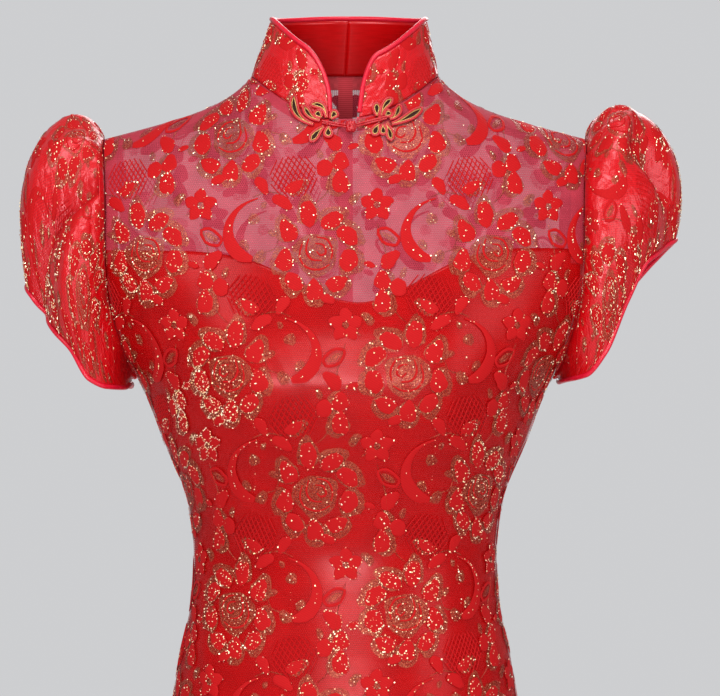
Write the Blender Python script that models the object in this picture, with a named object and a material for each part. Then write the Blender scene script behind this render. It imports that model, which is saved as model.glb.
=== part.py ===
"""Knee-length sheath wedding dress of the cheongsam kind: lace over satin, a sheer net yoke, a stand
collar, puffed petal sleeves, piped edges and a corded frog fastening. It keeps its worn, hollow form.

Metres, +Z up, the front faces -Y. The origin is midway between the two neck points of the shoulder seams.
"""

import math
from collections import namedtuple

import bmesh
import bpy
from mathutils import Vector

MM = 0.001

# cloth
LACE = 1.0 * MM
LINING = 1.0 * MM
COLLAR_WALL = 2.0 * MM
SLEEVE_WALL = 1.2 * MM
SEAM_GAP = 0.3 * MM
SEAM_TRIM = 0.6 * SEAM_GAP
LINING_GAP = 0.35 * MM

# main sizes
NECK_HALF_WIDTH = 75 * MM
NECK_Z = 2 * MM
NECK_DROP_FRONT = 39 * MM
NECK_RISE_BACK = 6 * MM
SHOULDER_HALF_WIDTH = 192 * MM
SHOULDER_SLOPE = 0.25
SHOULDER_START_DROP = 20 * MM
SHOULDER_START_RUN = 22 * MM
NECK_RIDGE_RISE = {"front": 0.1, "back": 0.9}
HEM_Z = -1000 * MM
SLIT_Z = -790 * MM
SLIT_OPENING = 5 * MM
SHOULDER_ROUND = 70 * MM
SECTION_POWER = 2.4
RELIEF_FADE = 2.5

# the soft sweetheart line where the satin lining begins
SWEETHEART_SIDE = -138 * MM
SWEETHEART_DIP = 42 * MM
SWEETHEART_CENTRE = 13 * MM
SWEETHEART_WIDTH = 70 * MM
SWEETHEART_TILT = 0.02
BACK_LINING_DIP = 50 * MM

# rows and columns of the panels
YOKE_ROWS = 6
LOWER_ROWS = 22
UNDERARM_ROWS = 4
FRONT_COLUMNS = 12
BACK_COLUMNS = 9
LEVEL_FADE = 0.35
EVEN_SHARE = 0.55
YOKE_CROWDING = 1.6
SETTLING_STEPS = 6

# collar and piping
COLLAR_HEIGHT = 47 * MM
COLLAR_LEAN = 0.28
COLLAR_SHIFT = 3 * MM
COLLAR_ROWS = 3
COLLAR_SEAT = 1.0 * MM
COLLAR_FRONT_GAP = 4 * MM
COLLAR_CORNER = {"left": 36 * MM, "right": 19 * MM}
COLLAR_LEAST = 3 * MM
PIPING_RADIUS = 1.6 * MM
PIPING_SIDES = 5
PIPING_END_TRIM = 0.48 * MM

# zip in the centre back
ZIP_AXIS_Z = 34 * MM
SLIDER = (6.0 * MM, 2.0 * MM, 9.0 * MM)
BAIL_WIRE = 1.0 * MM
BAIL_WIDTH = 1.6 * MM
AXIS_HEIGHT = 1.6 * MM
TAB = (5.0 * MM, 1.0 * MM, 22.0 * MM)
TAB_EYE = (2.6 * MM, 2.7 * MM)
TAB_EDGE = ((0.8, 0.55), (1.0, 0.85), (0.6, 1.0))

Section = namedtuple("Section", "z width share front back")
Fold = namedtuple("Fold", "side x0 z0 x1 z1 width depth")
Mound = namedtuple("Mound", "x z width height forward")
Sleeve = namedtuple("Sleeve", "sign hem_near hem_reach hem_power hem_depth head_x head_up out_x out_up")
Hem = namedtuple("Hem", "around left right right_back")
Pleat = namedtuple("Pleat", "sleeve around drift start end width depth")
Petal = namedtuple("Petal", "side start_x start_z via_x via_z tip_x tip_z width")

# half width of the whole section, the share of it that the panel covers, front and back depth, in mm
BODY = (
    Section(10, 225, 0.853, 66, 62),
    Section(-40, 225, 0.853, 76, 76),
    Section(-90, 222, 0.842, 96, 96),
    Section(-138, 216, 0.861, 110, 104),
    Section(-168, 208, 0.889, 116, 106),
    Section(-208, 187, 0.941, 120, 105),
    Section(-237, 166, 1.000, 120, 102),
    Section(-256, 157, 1.000, 117, 100),
    Section(-288, 145, 1.000, 109, 96),
    Section(-340, 125, 1.000, 95, 88),
    Section(-379, 121, 1.000, 87, 84),
    Section(-418, 123.5, 1.000, 90, 92),
    Section(-458, 132, 1.000, 95, 101),
    Section(-493, 137.5, 1.000, 99, 108),
    Section(-540, 146, 1.000, 102, 115),
    Section(-590, 154, 1.000, 105, 119),
    Section(-640, 158, 1.000, 106, 118),
    Section(-720, 157, 1.000, 104, 113),
    Section(-850, 151, 1.000, 100, 106),
    Section(-1000, 146, 1.000, 97, 102),
)

# soft mounds that the bust cut and darts give the front
BUST = (
    Mound(-84, -252, 52, 62, 11),
    Mound(84, -252, 52, 62, 11),
)

# the largest folds of the body, each a line from one end to the other; depth below 0 is a trough
FOLDS = (
    Fold("front", -184, -165, -146, -232, 12, -4.5),
    Fold("front", -146, -232, -136, -292, 12, -4.0),
    Fold("front", -166, -190, -132, -262, 11, 3.0),
    Fold("front", 158, -206, 138, -262, 12, -4.0),
    Fold("front", 146, -190, 122, -250, 12, 2.5),
    Fold("front", -118, -350, -70, -392, 12, -2.5),
    Fold("front", 118, -392, 104, -480, 13, -2.5),
    Fold("front", -104, -420, -112, -520, 13, 2.5),
    Fold("front", -60, -760, -74, -1000, 30, -5.0),
    Fold("front", 66, -740, 80, -1000, 30, -5.0),
    Fold("front", 4, -800, 0, -1000, 34, 4.0),
    Fold("back", -86, -350, -40, -384, 14, -2.5),
    Fold("back", 86, -350, 40, -384, 14, -2.5),
    Fold("back", -74, -740, -86, -1000, 32, -5.0),
    Fold("back", 74, -740, 86, -1000, 32, -5.0),
)

SLEEVES = {
    "left": Sleeve(-1, 171, 84, 1.25, 60, 0.32, 38, 0.16, 142),
    "right": Sleeve(1, 171, 94, 1.2, 58, 0.12, 47, 0.20, 110),
}

# height of the sleeve hem in mm by the angle round the arm, 0 at the top, 180 under the arm
HEM = (
    Hem(0, -163, -126, -126),
    Hem(20, -169, -129, -131),
    Hem(40, -184, -136, -142),
    Hem(60, -198, -145, -159),
    Hem(80, -213, -176, -180),
    Hem(100, -237, -216, -216),
    Hem(120, -243, -234, -234),
    Hem(150, -244, -238, -238),
    Hem(180, -241, -240, -240),
)

# folds of the sleeves by the angle round the arm, front side above 0, and from seam 0 to hem 1
PLEATS = (
    Pleat("left", 56, -10, 0.12, 1.10, 13, -17.0),
    Pleat("left", 88, -4, 0.25, 0.95, 15, 5.0),
    Pleat("left", 20, -4, 0.05, 0.55, 8, -3.5),
    Pleat("left", 4, -2, 0.02, 0.45, 8, 2.5),
    Pleat("left", -16, 2, 0.02, 0.50, 9, -3.5),
    Pleat("left", -46, 10, 0.12, 1.00, 14, -8.0),
    Pleat("right", 46, -8, 0.45, 1.10, 15, -13.0),
    Pleat("right", 40, 0, 0.22, 0.52, 22, 3.0),
    Pleat("right", 62, -6, 0.10, 0.70, 12, -4.0),
    Pleat("right", 14, 0, 0.02, 0.45, 8, 2.5),
    Pleat("right", -8, 0, 0.02, 0.45, 8, -3.0),
    Pleat("right", -42, 8, 0.14, 1.00, 14, -8.0),
)

SLEEVE_ROWS = 9
SLEEVE_ARM_DEPTH = 56 * MM
SLEEVE_SEAM = 0.6 * MM
SLEEVE_LEAST_LEAD = 4 * MM
SLEEVE_LEAD_POWER = 0.9
SLEEVE_DROP_POWER = 1.35
SLEEVE_BELL = 0.25
SLEEVE_PUFF = 0.35
SLEEVE_TURN_ROWS = 2
SLEEVE_TURN_REACH = 20 * MM

# looped cord petals of the frog: each bends from near its hub by way of one point to its tip, x and z in mm
FROG_HUBS = {"left": (-13.2, -40.3), "right": (27.6, -37.2)}
FROG_PETALS = (
    Petal("left", -24.0, -41.5, -42.5, -36.0, -39.0, -17.0, 1.9),
    Petal("left", -19.0, -38.0, -28.5, -36.5, -31.0, -26.0, 1.6),
    Petal("left", -17.5, -36.0, -19.5, -34.5, -22.5, -30.5, 2.1),
    Petal("left", -14.0, -36.5, -14.5, -23.5, -26.5, -25.5, 1.6),
    Petal("left", -10.5, -37.5, -9.5, -34.5, -6.0, -31.0, 2.1),
    Petal("left", -12.5, -43.5, -12.5, -46.0, -12.5, -52.0, 2.2),
    Petal("left", -16.0, -43.5, -21.0, -47.0, -26.0, -55.5, 2.0),
    Petal("right", 25.5, -35.0, 25.0, -31.5, 25.0, -24.0, 2.0),
    Petal("right", 28.5, -35.0, 29.5, -25.0, 37.5, -20.5, 1.8),
    Petal("right", 31.0, -35.0, 33.0, -33.5, 36.0, -30.5, 2.0),
    Petal("right", 35.0, -37.0, 42.0, -35.0, 42.5, -25.0, 1.6),
    Petal("right", 36.5, -41.0, 48.0, -38.0, 60.5, -27.5, 2.0),
    Petal("right", 26.5, -41.5, 25.0, -43.5, 22.5, -50.5, 2.2),
    Petal("right", 29.5, -42.0, 30.0, -44.5, 30.0, -50.0, 2.0),
    Petal("right", 32.0, -41.5, 35.0, -45.0, 36.0, -54.5, 1.8),
)
PETAL_STEPS = 5
PETAL_RIM = 1.9 * MM
PETAL_FLOOR = 1.2 * MM
PETAL_LIFT = 0.4 * MM
PETAL_NECK = 0.55 * MM
PETAL_ROUND_FROM = 0.55
PETAL_ROUND_RUN = 0.5
PETAL_BLUNT = 0.35
PETAL_RIM_SHARE = 0.72
FROG_BLUR = 0.9 * MM
CORD_RADIUS = 1.1 * MM
CORD_LIFT = 1.6 * MM
CORD_START = 1.0 * MM
CORD_STEPS = 3
CORD_SIDES = 6
KNOT_LIFT = 1.15
KNOT_X = 5.0 * MM
KNOT_Z = -43.6 * MM
KNOT_RADIUS = 4.4 * MM

for old in list(bpy.data.objects):
    bpy.data.objects.remove(old, do_unlink=True)


def mix(a, b, t):
    return a + (b - a) * t


def clamp(v, low=0.0, high=1.0):
    return max(low, min(high, v))


def smooth_row(table, key, column, at):
    """A smooth curve through one column of a table, read at a value of the key column."""
    rows = sorted(table, key=lambda row: getattr(row, key))
    xs = [getattr(row, key) for row in rows]
    ys = [getattr(row, column) for row in rows]
    if at <= xs[0]:
        return ys[0]
    if at >= xs[-1]:
        return ys[-1]
    i = max(k for k in range(len(xs) - 1) if xs[k] <= at)

    def slope(k):
        if k == 0 or k == len(xs) - 1:
            return 0.0
        before = (ys[k] - ys[k - 1]) / (xs[k] - xs[k - 1])
        after = (ys[k + 1] - ys[k]) / (xs[k + 1] - xs[k])
        if before * after <= 0:
            return 0.0
        return 2 * before * after / (before + after)

    step = xs[i + 1] - xs[i]
    t = (at - xs[i]) / step
    keep = (1 + 2 * t) * (1 - t) ** 2 * ys[i] + t * t * (3 - 2 * t) * ys[i + 1]
    return keep + step * (t * (1 - t) ** 2 * slope(i) - t * t * (1 - t) * slope(i + 1))


def body(column, z):
    value = smooth_row(BODY, "z", column, z / MM)
    return value if column == "share" else value * MM


def material(name, colour, roughness, metallic=0.0):
    mat = bpy.data.materials.new(name)
    mat.use_nodes = True
    shader = mat.node_tree.nodes["Principled BSDF"]
    shader.inputs["Base Color"].default_value = (*colour, 1)
    shader.inputs["Roughness"].default_value = roughness
    shader.inputs["Metallic"].default_value = metallic
    mat.diffuse_color = (*colour, 1)
    return mat


LACE_RED = material("lace over net", (0.66, 0.02, 0.03), 0.6)
SATIN_RED = material("satin lining", (0.50, 0.01, 0.02), 0.35)
PIPING_RED = material("satin piping", (0.75, 0.05, 0.09), 0.4)
CORD_RED = material("frog cord", (0.60, 0.02, 0.03), 0.45)
ZIP_METAL = material("zip metal", (0.55, 0.04, 0.05), 0.35, 0.6)


def make_object(name, mesh_builder, mat, smooth_angle=50):
    """Turns a bmesh into a named object with outward faces and one material."""
    bmesh.ops.recalc_face_normals(mesh_builder, faces=mesh_builder.faces)
    mesh = bpy.data.meshes.new(name)
    mesh_builder.to_mesh(mesh)
    mesh_builder.free()
    mesh.materials.append(mat)
    mesh.shade_smooth()
    mesh.set_sharp_from_angle(angle=math.radians(smooth_angle))
    obj = bpy.data.objects.new(name, mesh)
    bpy.context.scene.collection.objects.link(obj)
    return obj


def cloth_wall(name, outer, inner, mat, closed=False):
    """A closed wall between two grids of points. closed joins the last column to the first."""
    bm = bmesh.new()
    sheets = [[[bm.verts.new(p) for p in row] for row in grid] for grid in (outer, inner)]
    rows = len(outer)
    columns = len(outer[0])
    across = columns if closed else columns - 1
    for sheet in sheets:
        for j in range(rows - 1):
            for i in range(across):
                k = (i + 1) % columns
                bm.faces.new((sheet[j][i], sheet[j][k], sheet[j + 1][k], sheet[j + 1][i]))
    for j in (0, rows - 1):
        for i in range(across):
            k = (i + 1) % columns
            bm.faces.new((sheets[0][j][i], sheets[0][j][k], sheets[1][j][k], sheets[1][j][i]))
    if not closed:
        for i in (0, columns - 1):
            for j in range(rows - 1):
                bm.faces.new((sheets[0][j][i], sheets[0][j + 1][i], sheets[1][j + 1][i], sheets[1][j][i]))
    return make_object(name, bm, mat)


def tube(name, path, radius, sides, mat, closed=False):
    """A round cord along a path, with flat ends or joined into a ring."""
    bm = bmesh.new()
    count = len(path)
    rings = []
    normal = None
    for k, point in enumerate(path):
        before = path[(k - 1) % count] if closed or k > 0 else point
        after = path[(k + 1) % count] if closed or k < count - 1 else point
        along = (after - before).normalized()
        if normal is None:
            normal = along.orthogonal().normalized()
        normal = (normal - along * normal.dot(along)).normalized()
        side = along.cross(normal)
        turns = [2 * math.pi * s / sides for s in range(sides)]
        rim = [point + radius * (normal * math.cos(a) + side * math.sin(a)) for a in turns]
        rings.append([bm.verts.new(p) for p in rim])
    for k in range(count if closed else count - 1):
        a = rings[k]
        b = rings[(k + 1) % count]
        shift = 0
        if closed and k == count - 1:
            shift = min(range(sides), key=lambda s: (a[0].co - b[s].co).length)
        for s in range(sides):
            t = (s + 1) % sides
            bm.faces.new((a[s], a[t], b[(t + shift) % sides], b[(s + shift) % sides]))
    if not closed:
        bm.faces.new(rings[0])
        bm.faces.new(rings[-1])
    return make_object(name, bm, mat, 80)


def shoulder_line(x):
    """Height of the shoulder seam, with its concave start at the neck."""
    out = abs(x) - NECK_HALF_WIDTH
    return NECK_Z - SHOULDER_START_DROP * (1 - math.exp(-out / SHOULDER_START_RUN)) - SHOULDER_SLOPE * out


def ridge(x, side):
    """The height where front and back would meet, carried on inside the neck opening."""
    if abs(x) >= NECK_HALF_WIDTH:
        return shoulder_line(x)
    return NECK_Z + NECK_RIDGE_RISE[side] * (NECK_HALF_WIDTH - abs(x))


def top_edge(x, side):
    """Height of a panel's top: the neck curve, then the shoulder seam."""
    if abs(x) >= NECK_HALF_WIDTH:
        return shoulder_line(x)
    share = 1 - (x / NECK_HALF_WIDTH) ** 2
    return NECK_Z - NECK_DROP_FRONT * share if side == "front" else NECK_Z + NECK_RISE_BACK * share


def lining_edge(x, side):
    """Height of the line where the satin lining begins; front and back meet at the armholes."""
    inside = max(0.0, 1 - (x / SHOULDER_HALF_WIDTH) ** 2)
    if side == "back":
        return SWEETHEART_SIDE - BACK_LINING_DIP * inside
    dip = SWEETHEART_DIP * math.exp(-(((x - SWEETHEART_CENTRE) / SWEETHEART_WIDTH) ** 2))
    return SWEETHEART_SIDE + (SWEETHEART_TILT * x - dip) * inside


def level(w):
    """Height at the side of a lower row, from 0 at the lining edge to 1 at the hem."""
    return SWEETHEART_SIDE - (SWEETHEART_SIDE - HEM_Z) * (EVEN_SHARE * w + (1 - EVEN_SHARE) * w * w)


def row_height(row, x, side):
    """Height of a row at x. Rows bend from the neck and shoulder line to level ones below the bust."""
    if row <= YOKE_ROWS:
        return mix(top_edge(x, side), lining_edge(x, side), (row / YOKE_ROWS) ** YOKE_CROWDING)
    w = (row - YOKE_ROWS) / LOWER_ROWS
    fade = max(0.0, 1 - w / LEVEL_FADE) ** 2
    return level(w) + (lining_edge(x, side) - SWEETHEART_SIDE) * fade


def fold_offset(x, z, side):
    """The sum of the folds at a point; each is deepest at its middle and shallow at its ends."""
    total = 0.0
    for fold in FOLDS:
        if fold.side != side:
            continue
        start = Vector((fold.x0, fold.z0)) * MM
        run = Vector((fold.x1, fold.z1)) * MM - start
        t = clamp((Vector((x, z)) - start).dot(run) / run.length_squared)
        away = (Vector((x, z)) - start - run * t).length / (fold.width * MM)
        total += fold.depth * MM * math.exp(-away * away) * math.sin(math.pi * (0.15 + 0.7 * t))
    return total


def depth_at(x, z, side):
    """How far the body lies in front of, or behind, the plane of the side seams."""
    share = min(abs(x) / body("width", z), 1.0)
    across = math.sqrt(max(0.0, 1 - share**SECTION_POWER))
    drop = clamp((ridge(x, side) - z) / SHOULDER_ROUND)
    relief = fold_offset(x, z, side)
    if side == "front":
        for m in BUST:
            away = ((x / MM - m.x) / m.width) ** 2 + ((z / MM - m.z) / m.height) ** 2
            relief += m.forward * MM * math.exp(-away)
    return body(side, z) * across * math.sqrt(1 - (1 - drop) ** 2) + relief * min(1.0, RELIEF_FADE * across)


def panel_point(row, u, side):
    """A point of the outer face. u runs from -1 to 1 across the body."""
    x = u * SHOULDER_HALF_WIDTH
    for _ in range(SETTLING_STEPS):
        z = row_height(row, x, side)
        x = body("width", z) * math.sin(u * math.asin(min(1.0, body("share", z))))
    y = depth_at(x, z, side)
    return Vector((x, -y if side == "front" else y, z))


def panel_normal(row, u, side):
    """The outward direction, from small steps along the panel."""
    du = 0.004
    dr = 0.02
    last = YOKE_ROWS + LOWER_ROWS
    across = panel_point(row, min(u + du, 1), side) - panel_point(row, max(u - du, -1), side)
    down = panel_point(min(row + dr, last), u, side) - panel_point(max(row - dr, 0), u, side)
    n = across.cross(down)
    n = n if side == "back" else -n
    point = panel_point(row, u, side)
    if abs(point.y) < SEAM_GAP:
        n.y = 0
    if u == 0:
        n.x = 0
    return n.normalized()


def slit_trim(z):
    return SLIT_OPENING * clamp((SLIT_Z - z) / (SLIT_Z - HEM_Z))


def panel_grids(side, first_u, last_u, columns, first_row, offsets):
    """Grids of points at each offset inwards from the outer face, trimmed at the seams."""
    last_row = YOKE_ROWS + LOWER_ROWS
    us = [mix(first_u, last_u, i / columns) for i in range(columns + 1)]
    grids = [[] for _ in offsets]
    for row in range(first_row, last_row + 1):
        points = [panel_point(row, u, side) for u in us]
        normals = [panel_normal(row, u, side) for u in us]
        for end, near in ((0, 1), (-1, -2)):
            if abs(us[end]) == 1 or us[end] == 0:
                trim = SEAM_TRIM + (slit_trim(points[end].z) if abs(us[end]) == 1 else 0)
                points[end] = points[end] + (points[near] - points[end]).normalized() * trim
        if row == 0:
            below = [panel_point(1, u, side) for u in us]
            points = [p + (b - p).normalized() * SEAM_TRIM for p, b in zip(points, below, strict=True)]
        for grid, offset in zip(grids, offsets, strict=True):
            grid.append([p - n * offset for p, n in zip(points, normals, strict=True)])
    return grids


LINING_OUT = LACE + LINING_GAP
LINING_IN = LINING_OUT + LINING


def body_panels():
    """Front in one, back in two halves that meet at the zip; lining from the sweetheart line down."""
    spans = (
        ("front", "front", -1, 1, 2 * FRONT_COLUMNS),
        ("back_left", "back", -1, 0, BACK_COLUMNS),
        ("back_right", "back", 0, 1, BACK_COLUMNS),
    )
    for name, side, first, last, columns in spans:
        outer, inner = panel_grids(side, first, last, columns, 0, (0.0, LACE))
        cloth_wall("lace_" + name, outer, inner, LACE_RED)
        outer, inner = panel_grids(side, first, last, columns, YOKE_ROWS, (LINING_OUT, LINING_IN))
        cloth_wall("lining_" + name, outer, inner, SATIN_RED)


def armhole_ring(sign):
    """Points of the armhole from the shoulder down the front, under the arm and up the back."""
    rows = YOKE_ROWS + UNDERARM_ROWS
    front = [panel_point(row, sign, "front") for row in range(rows + 1)]
    back = [panel_point(row, sign, "back") for row in range(rows + 1)]
    ring = front + back[-2:0:-1]
    doubled = []
    for k, point in enumerate(ring):
        doubled.append(point)
        doubled.append((point + ring[(k + 1) % len(ring)]) / 2)
    return doubled


def sleeve_angle(point, centre_z, half_height):
    """The angle of an armhole point round the arm: 0 at the top, above 0 on the front side."""
    return math.atan2(-point.y / SLEEVE_ARM_DEPTH, (point.z - centre_z) / half_height)


def sleeve_grids(side_name):
    """Outer and inner points of a sleeve: Bezier runs from each armhole point to the hem."""
    sleeve = SLEEVES[side_name]
    ring = armhole_ring(sleeve.sign)
    top = max(p.z for p in ring)
    low = min(p.z for p in ring)
    out = Vector((sleeve.sign, 0, 0))
    centre_z = (top + low) / 2

    def point_on(start, r):
        around = sleeve_angle(start, centre_z, (top - low) / 2)
        c = (1 + math.cos(around)) / 2
        radial = Vector((0, -math.sin(around), math.cos(around)))
        column = "right_back" if side_name == "right" and around < 0 else side_name
        hem_z = smooth_row(HEM, "around", column, abs(math.degrees(around))) * MM
        hem = Vector((
            sleeve.sign * (sleeve.hem_near + sleeve.hem_reach * c**sleeve.hem_power) * MM,
            -sleeve.hem_depth * MM * math.sin(around),
            hem_z,
        ))
        lead = (radial + out * sleeve.head_x).normalized()
        lead = lead * mix(SLEEVE_LEAST_LEAD, sleeve.head_up * MM, c**SLEEVE_LEAD_POWER)
        drop = Vector((sleeve.sign * sleeve.out_x, -SLEEVE_BELL * math.sin(around), 1)).normalized()
        drop = drop * mix(SLEEVE_LEAST_LEAD, sleeve.out_up * MM, c**SLEEVE_DROP_POWER)
        a = start + out * SLEEVE_SEAM
        b = a + lead
        e = hem + drop
        s = 1 - r
        p = a * s**3 + b * 3 * s * s * r + e * 3 * s * r * r + hem * r**3
        centre = Vector((p.x, 0, mix(centre_z, hem_z, r)))
        outwards = (p - centre + out * (p - centre).length * SLEEVE_PUFF).normalized()
        push = 0.0
        for pleat in PLEATS:
            if pleat.sleeve != side_name or not pleat.start < r < pleat.end:
                continue
            along = (r - pleat.start) / (pleat.end - pleat.start)
            away = (math.degrees(around) - pleat.around - pleat.drift * r) / pleat.width
            push += pleat.depth * MM * math.exp(-away * away) * math.sin(math.pi * along) ** 0.7
        return p + outwards * push, p - centre

    rows = [r / SLEEVE_ROWS for r in range(SLEEVE_ROWS + 1)]
    outer = [[point_on(start, r)[0] for start in ring] for r in rows]
    reference = [[point_on(start, r)[1] for start in ring] for r in rows]
    inner = []
    count = len(ring)
    for j, row in enumerate(outer):
        up = outer[max(j - 1, 0)]
        down = outer[min(j + 1, SLEEVE_ROWS)]
        line = []
        for i, p in enumerate(row):
            n = (row[(i + 1) % count] - row[i - 1]).cross(down[i] - up[i]).normalized()
            # the first rows rise off the shoulder, so their outer face looks back towards the neck
            outside = reference[j][i] - (out * SLEEVE_TURN_REACH if j <= SLEEVE_TURN_ROWS else out * 0)
            if n.dot(outside) < 0:
                n = -n
            line.append(p - n * SLEEVE_WALL)
        inner.append(line)
    return outer, inner


def sleeves():
    for side_name in SLEEVES:
        outer, inner = sleeve_grids(side_name)
        cloth_wall("sleeve_" + side_name, outer, inner, LACE_RED, closed=True)
        last = outer[-1]
        above = outer[-2]
        reach = PIPING_RADIUS + SEAM_GAP
        hem = []
        for k, p in enumerate(last):
            middle = (p + inner[-1][k]) / 2
            along = (last[(k + 1) % len(last)] - last[k - 1]).normalized()
            down = p - above[k]
            down = (down - along * down.dot(along)).normalized()
            hem.append(middle + down * reach)
        tube("piping_sleeve_" + side_name, hem, PIPING_RADIUS, PIPING_SIDES, PIPING_RED, closed=True)


def neck_ring(sign):
    """The panels' neck curve from the V in the front to the centre back on one side."""
    front_steps = 2 * FRONT_COLUMNS // 3
    back_steps = 2 * BACK_COLUMNS // 3
    first = 1 if sign > 0 else -1
    front = [panel_point(0, sign * i / (2 * FRONT_COLUMNS), "front") for i in range(first, front_steps + 1)]
    back = [panel_point(0, sign * i / (2 * BACK_COLUMNS), "back") for i in range(back_steps - 1, -1, -1)]
    return front + back


def collar_grids(side_name):
    """A stand that leans in, with its front corner rounded off down to the V at the neck."""
    sign = -1 if side_name == "left" else 1
    ring = neck_ring(sign)
    ring[0] = ring[0] + (ring[1] - ring[0]).normalized() * COLLAR_FRONT_GAP
    ring[-1] = ring[-1] + (ring[-2] - ring[-1]).normalized() * SEAM_TRIM
    corner = COLLAR_CORNER[side_name]
    distance = 0.0
    base = []
    for k, p in enumerate(ring):
        if k:
            distance += (p - ring[k - 1]).length
        base.append((p, distance))
    outer = []
    for j in range(COLLAR_ROWS + 1):
        share = j / COLLAR_ROWS
        line = []
        for p, run in base:
            turn = clamp(1 - run / corner)
            height = max(COLLAR_HEIGHT * math.sqrt(1 - turn * turn), COLLAR_LEAST)
            inwards = Vector((-p.x, -p.y, 0)).normalized()
            up = Vector((0, 0, 1)) + inwards * COLLAR_LEAN
            lean = Vector((COLLAR_SHIFT * share, 0, 0))
            line.append(p + up.normalized() * (height * share + COLLAR_SEAT * (1 - share)) + lean)
        outer.append(line)
    inner = []
    for j, row in enumerate(outer):
        line = []
        for i, p in enumerate(row):
            along = row[min(i + 1, len(row) - 1)] - row[max(i - 1, 0)]
            flat = Vector((along.y, -along.x, 0)).normalized()
            if flat.dot(Vector((p.x, p.y, 0))) > 0:
                flat = -flat
            if i == len(row) - 1:
                flat = Vector((0, -1, 0))
            flat.z = -COLLAR_LEAN / 2
            line.append(p + flat.normalized() * COLLAR_WALL)
        inner.append(line)
    return outer, inner


def collar():
    for side_name in ("left", "right"):
        outer, inner = collar_grids(side_name)
        cloth_wall("collar_" + side_name, outer, inner, LACE_RED)
        top = outer[-1]
        reach = PIPING_RADIUS + SEAM_GAP
        path = []
        for k, p in enumerate(top):
            along = (top[min(k + 1, len(top) - 1)] - top[max(k - 1, 0)]).normalized()
            middle = (p + inner[-1][k]) / 2
            facing = (p - inner[-1][k]).normalized()
            away = along.cross(facing).normalized()
            if away.z < 0:
                away = -away
            path.append(middle + away * reach)
        path[-1] = path[-1] + (path[-2] - path[-1]).normalized() * PIPING_END_TRIM
        tube("piping_collar_" + side_name, path, PIPING_RADIUS, PIPING_SIDES, PIPING_RED)


def frog_depth(x, z):
    """How far forward the frog lies: clear of the yoke and of the collar above the neck seam."""
    yoke = depth_at(x, min(z, ridge(x, "front") - FROG_BLUR), "front")
    seam = depth_at(x, top_edge(x, "front"), "front")
    stand = seam - COLLAR_LEAN * (z - top_edge(x, "front"))
    return max(yoke, stand) if z < top_edge(x, "front") + FROG_BLUR else stand


def frog_point(x, z, lift):
    """A point in front of the cloth, eased over the step where the collar meets the yoke."""
    around = [frog_depth(x, z + dz) for dz in (-FROG_BLUR, 0, FROG_BLUR)]
    return Vector((x, -(max(around) + lift), z))


def petal_pad(name, petal):
    """A looped petal: a round rim of cord about a sunk floor, tapering to the hub."""
    start = Vector((petal.start_x, petal.start_z)) * MM
    via = Vector((petal.via_x, petal.via_z)) * MM
    tip = Vector((petal.tip_x, petal.tip_z)) * MM

    def spine(t):
        return start * (1 - t) ** 2 + via * 2 * t * (1 - t) + tip * t * t

    stations = []
    for k in range(PETAL_STEPS + 1):
        t = k / PETAL_STEPS
        along = (spine(t + 0.01) - spine(t - 0.01)).normalized()
        across = Vector((-along.y, along.x))
        grow = math.sin(math.pi * 0.5 * t) ** 1.5
        end = math.sqrt(max(0.0, 1 - max(0.0, (t - PETAL_ROUND_FROM) / PETAL_ROUND_RUN) ** 2))
        half = mix(PETAL_NECK, petal.width * MM, grow) * max(end, PETAL_BLUNT)
        stations.append((spine(t), across, half))
    outline = [p + a * h for p, a, h in stations] + [p - a * h for p, a, h in reversed(stations)]
    middle = [p for p, a, h in stations] + [p for p, a, h in reversed(stations)]
    bm = bmesh.new()
    layers = (
        (1.0, PETAL_LIFT),
        (1.0, PETAL_LIFT + PETAL_FLOOR),
        (PETAL_RIM_SHARE, PETAL_LIFT + PETAL_RIM),
    )
    rings = []
    for spread, lift in layers:
        points = [m + (o - m) * spread for o, m in zip(outline, middle, strict=True)]
        rings.append([bm.verts.new(frog_point(p.x, p.y, lift)) for p in points])
    count = len(outline)
    for a, b in zip(rings, rings[1:], strict=False):
        for k in range(count):
            n = (k + 1) % count
            bm.faces.new((a[k], a[n], b[n], b[k]))
    for ring in (rings[0], rings[-1]):
        for k in range(PETAL_STEPS):
            bm.faces.new((ring[k], ring[k + 1], ring[count - 2 - k], ring[count - 1 - k]))
    return make_object(name, bm, CORD_RED)


def frog():
    """Two sprays of looped cord, a knot button between them and the short cords that join them."""
    numbers = {"left": 0, "right": 0}
    for petal in FROG_PETALS:
        numbers[petal.side] += 1
        petal_pad(f"frog_{petal.side}_petal_{numbers[petal.side]}", petal)
    centre = frog_point(KNOT_X, KNOT_Z, KNOT_RADIUS * KNOT_LIFT)
    bm = bmesh.new()
    bmesh.ops.create_uvsphere(bm, u_segments=10, v_segments=7, radius=KNOT_RADIUS)
    bmesh.ops.translate(bm, verts=bm.verts, vec=centre)
    make_object("frog_knot", bm, CORD_RED, 80)
    for side_name, (hub_x, hub_z) in FROG_HUBS.items():
        hub = frog_point(hub_x * MM, hub_z * MM, CORD_LIFT)
        away = (centre - hub).normalized()
        start = hub + away * CORD_START
        end = centre - away * (KNOT_RADIUS + SEAM_GAP)
        path = [start.lerp(end, k / CORD_STEPS) for k in range(CORD_STEPS + 1)]
        tube("frog_cord_" + side_name, path, CORD_RADIUS, CORD_SIDES, CORD_RED)


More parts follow.
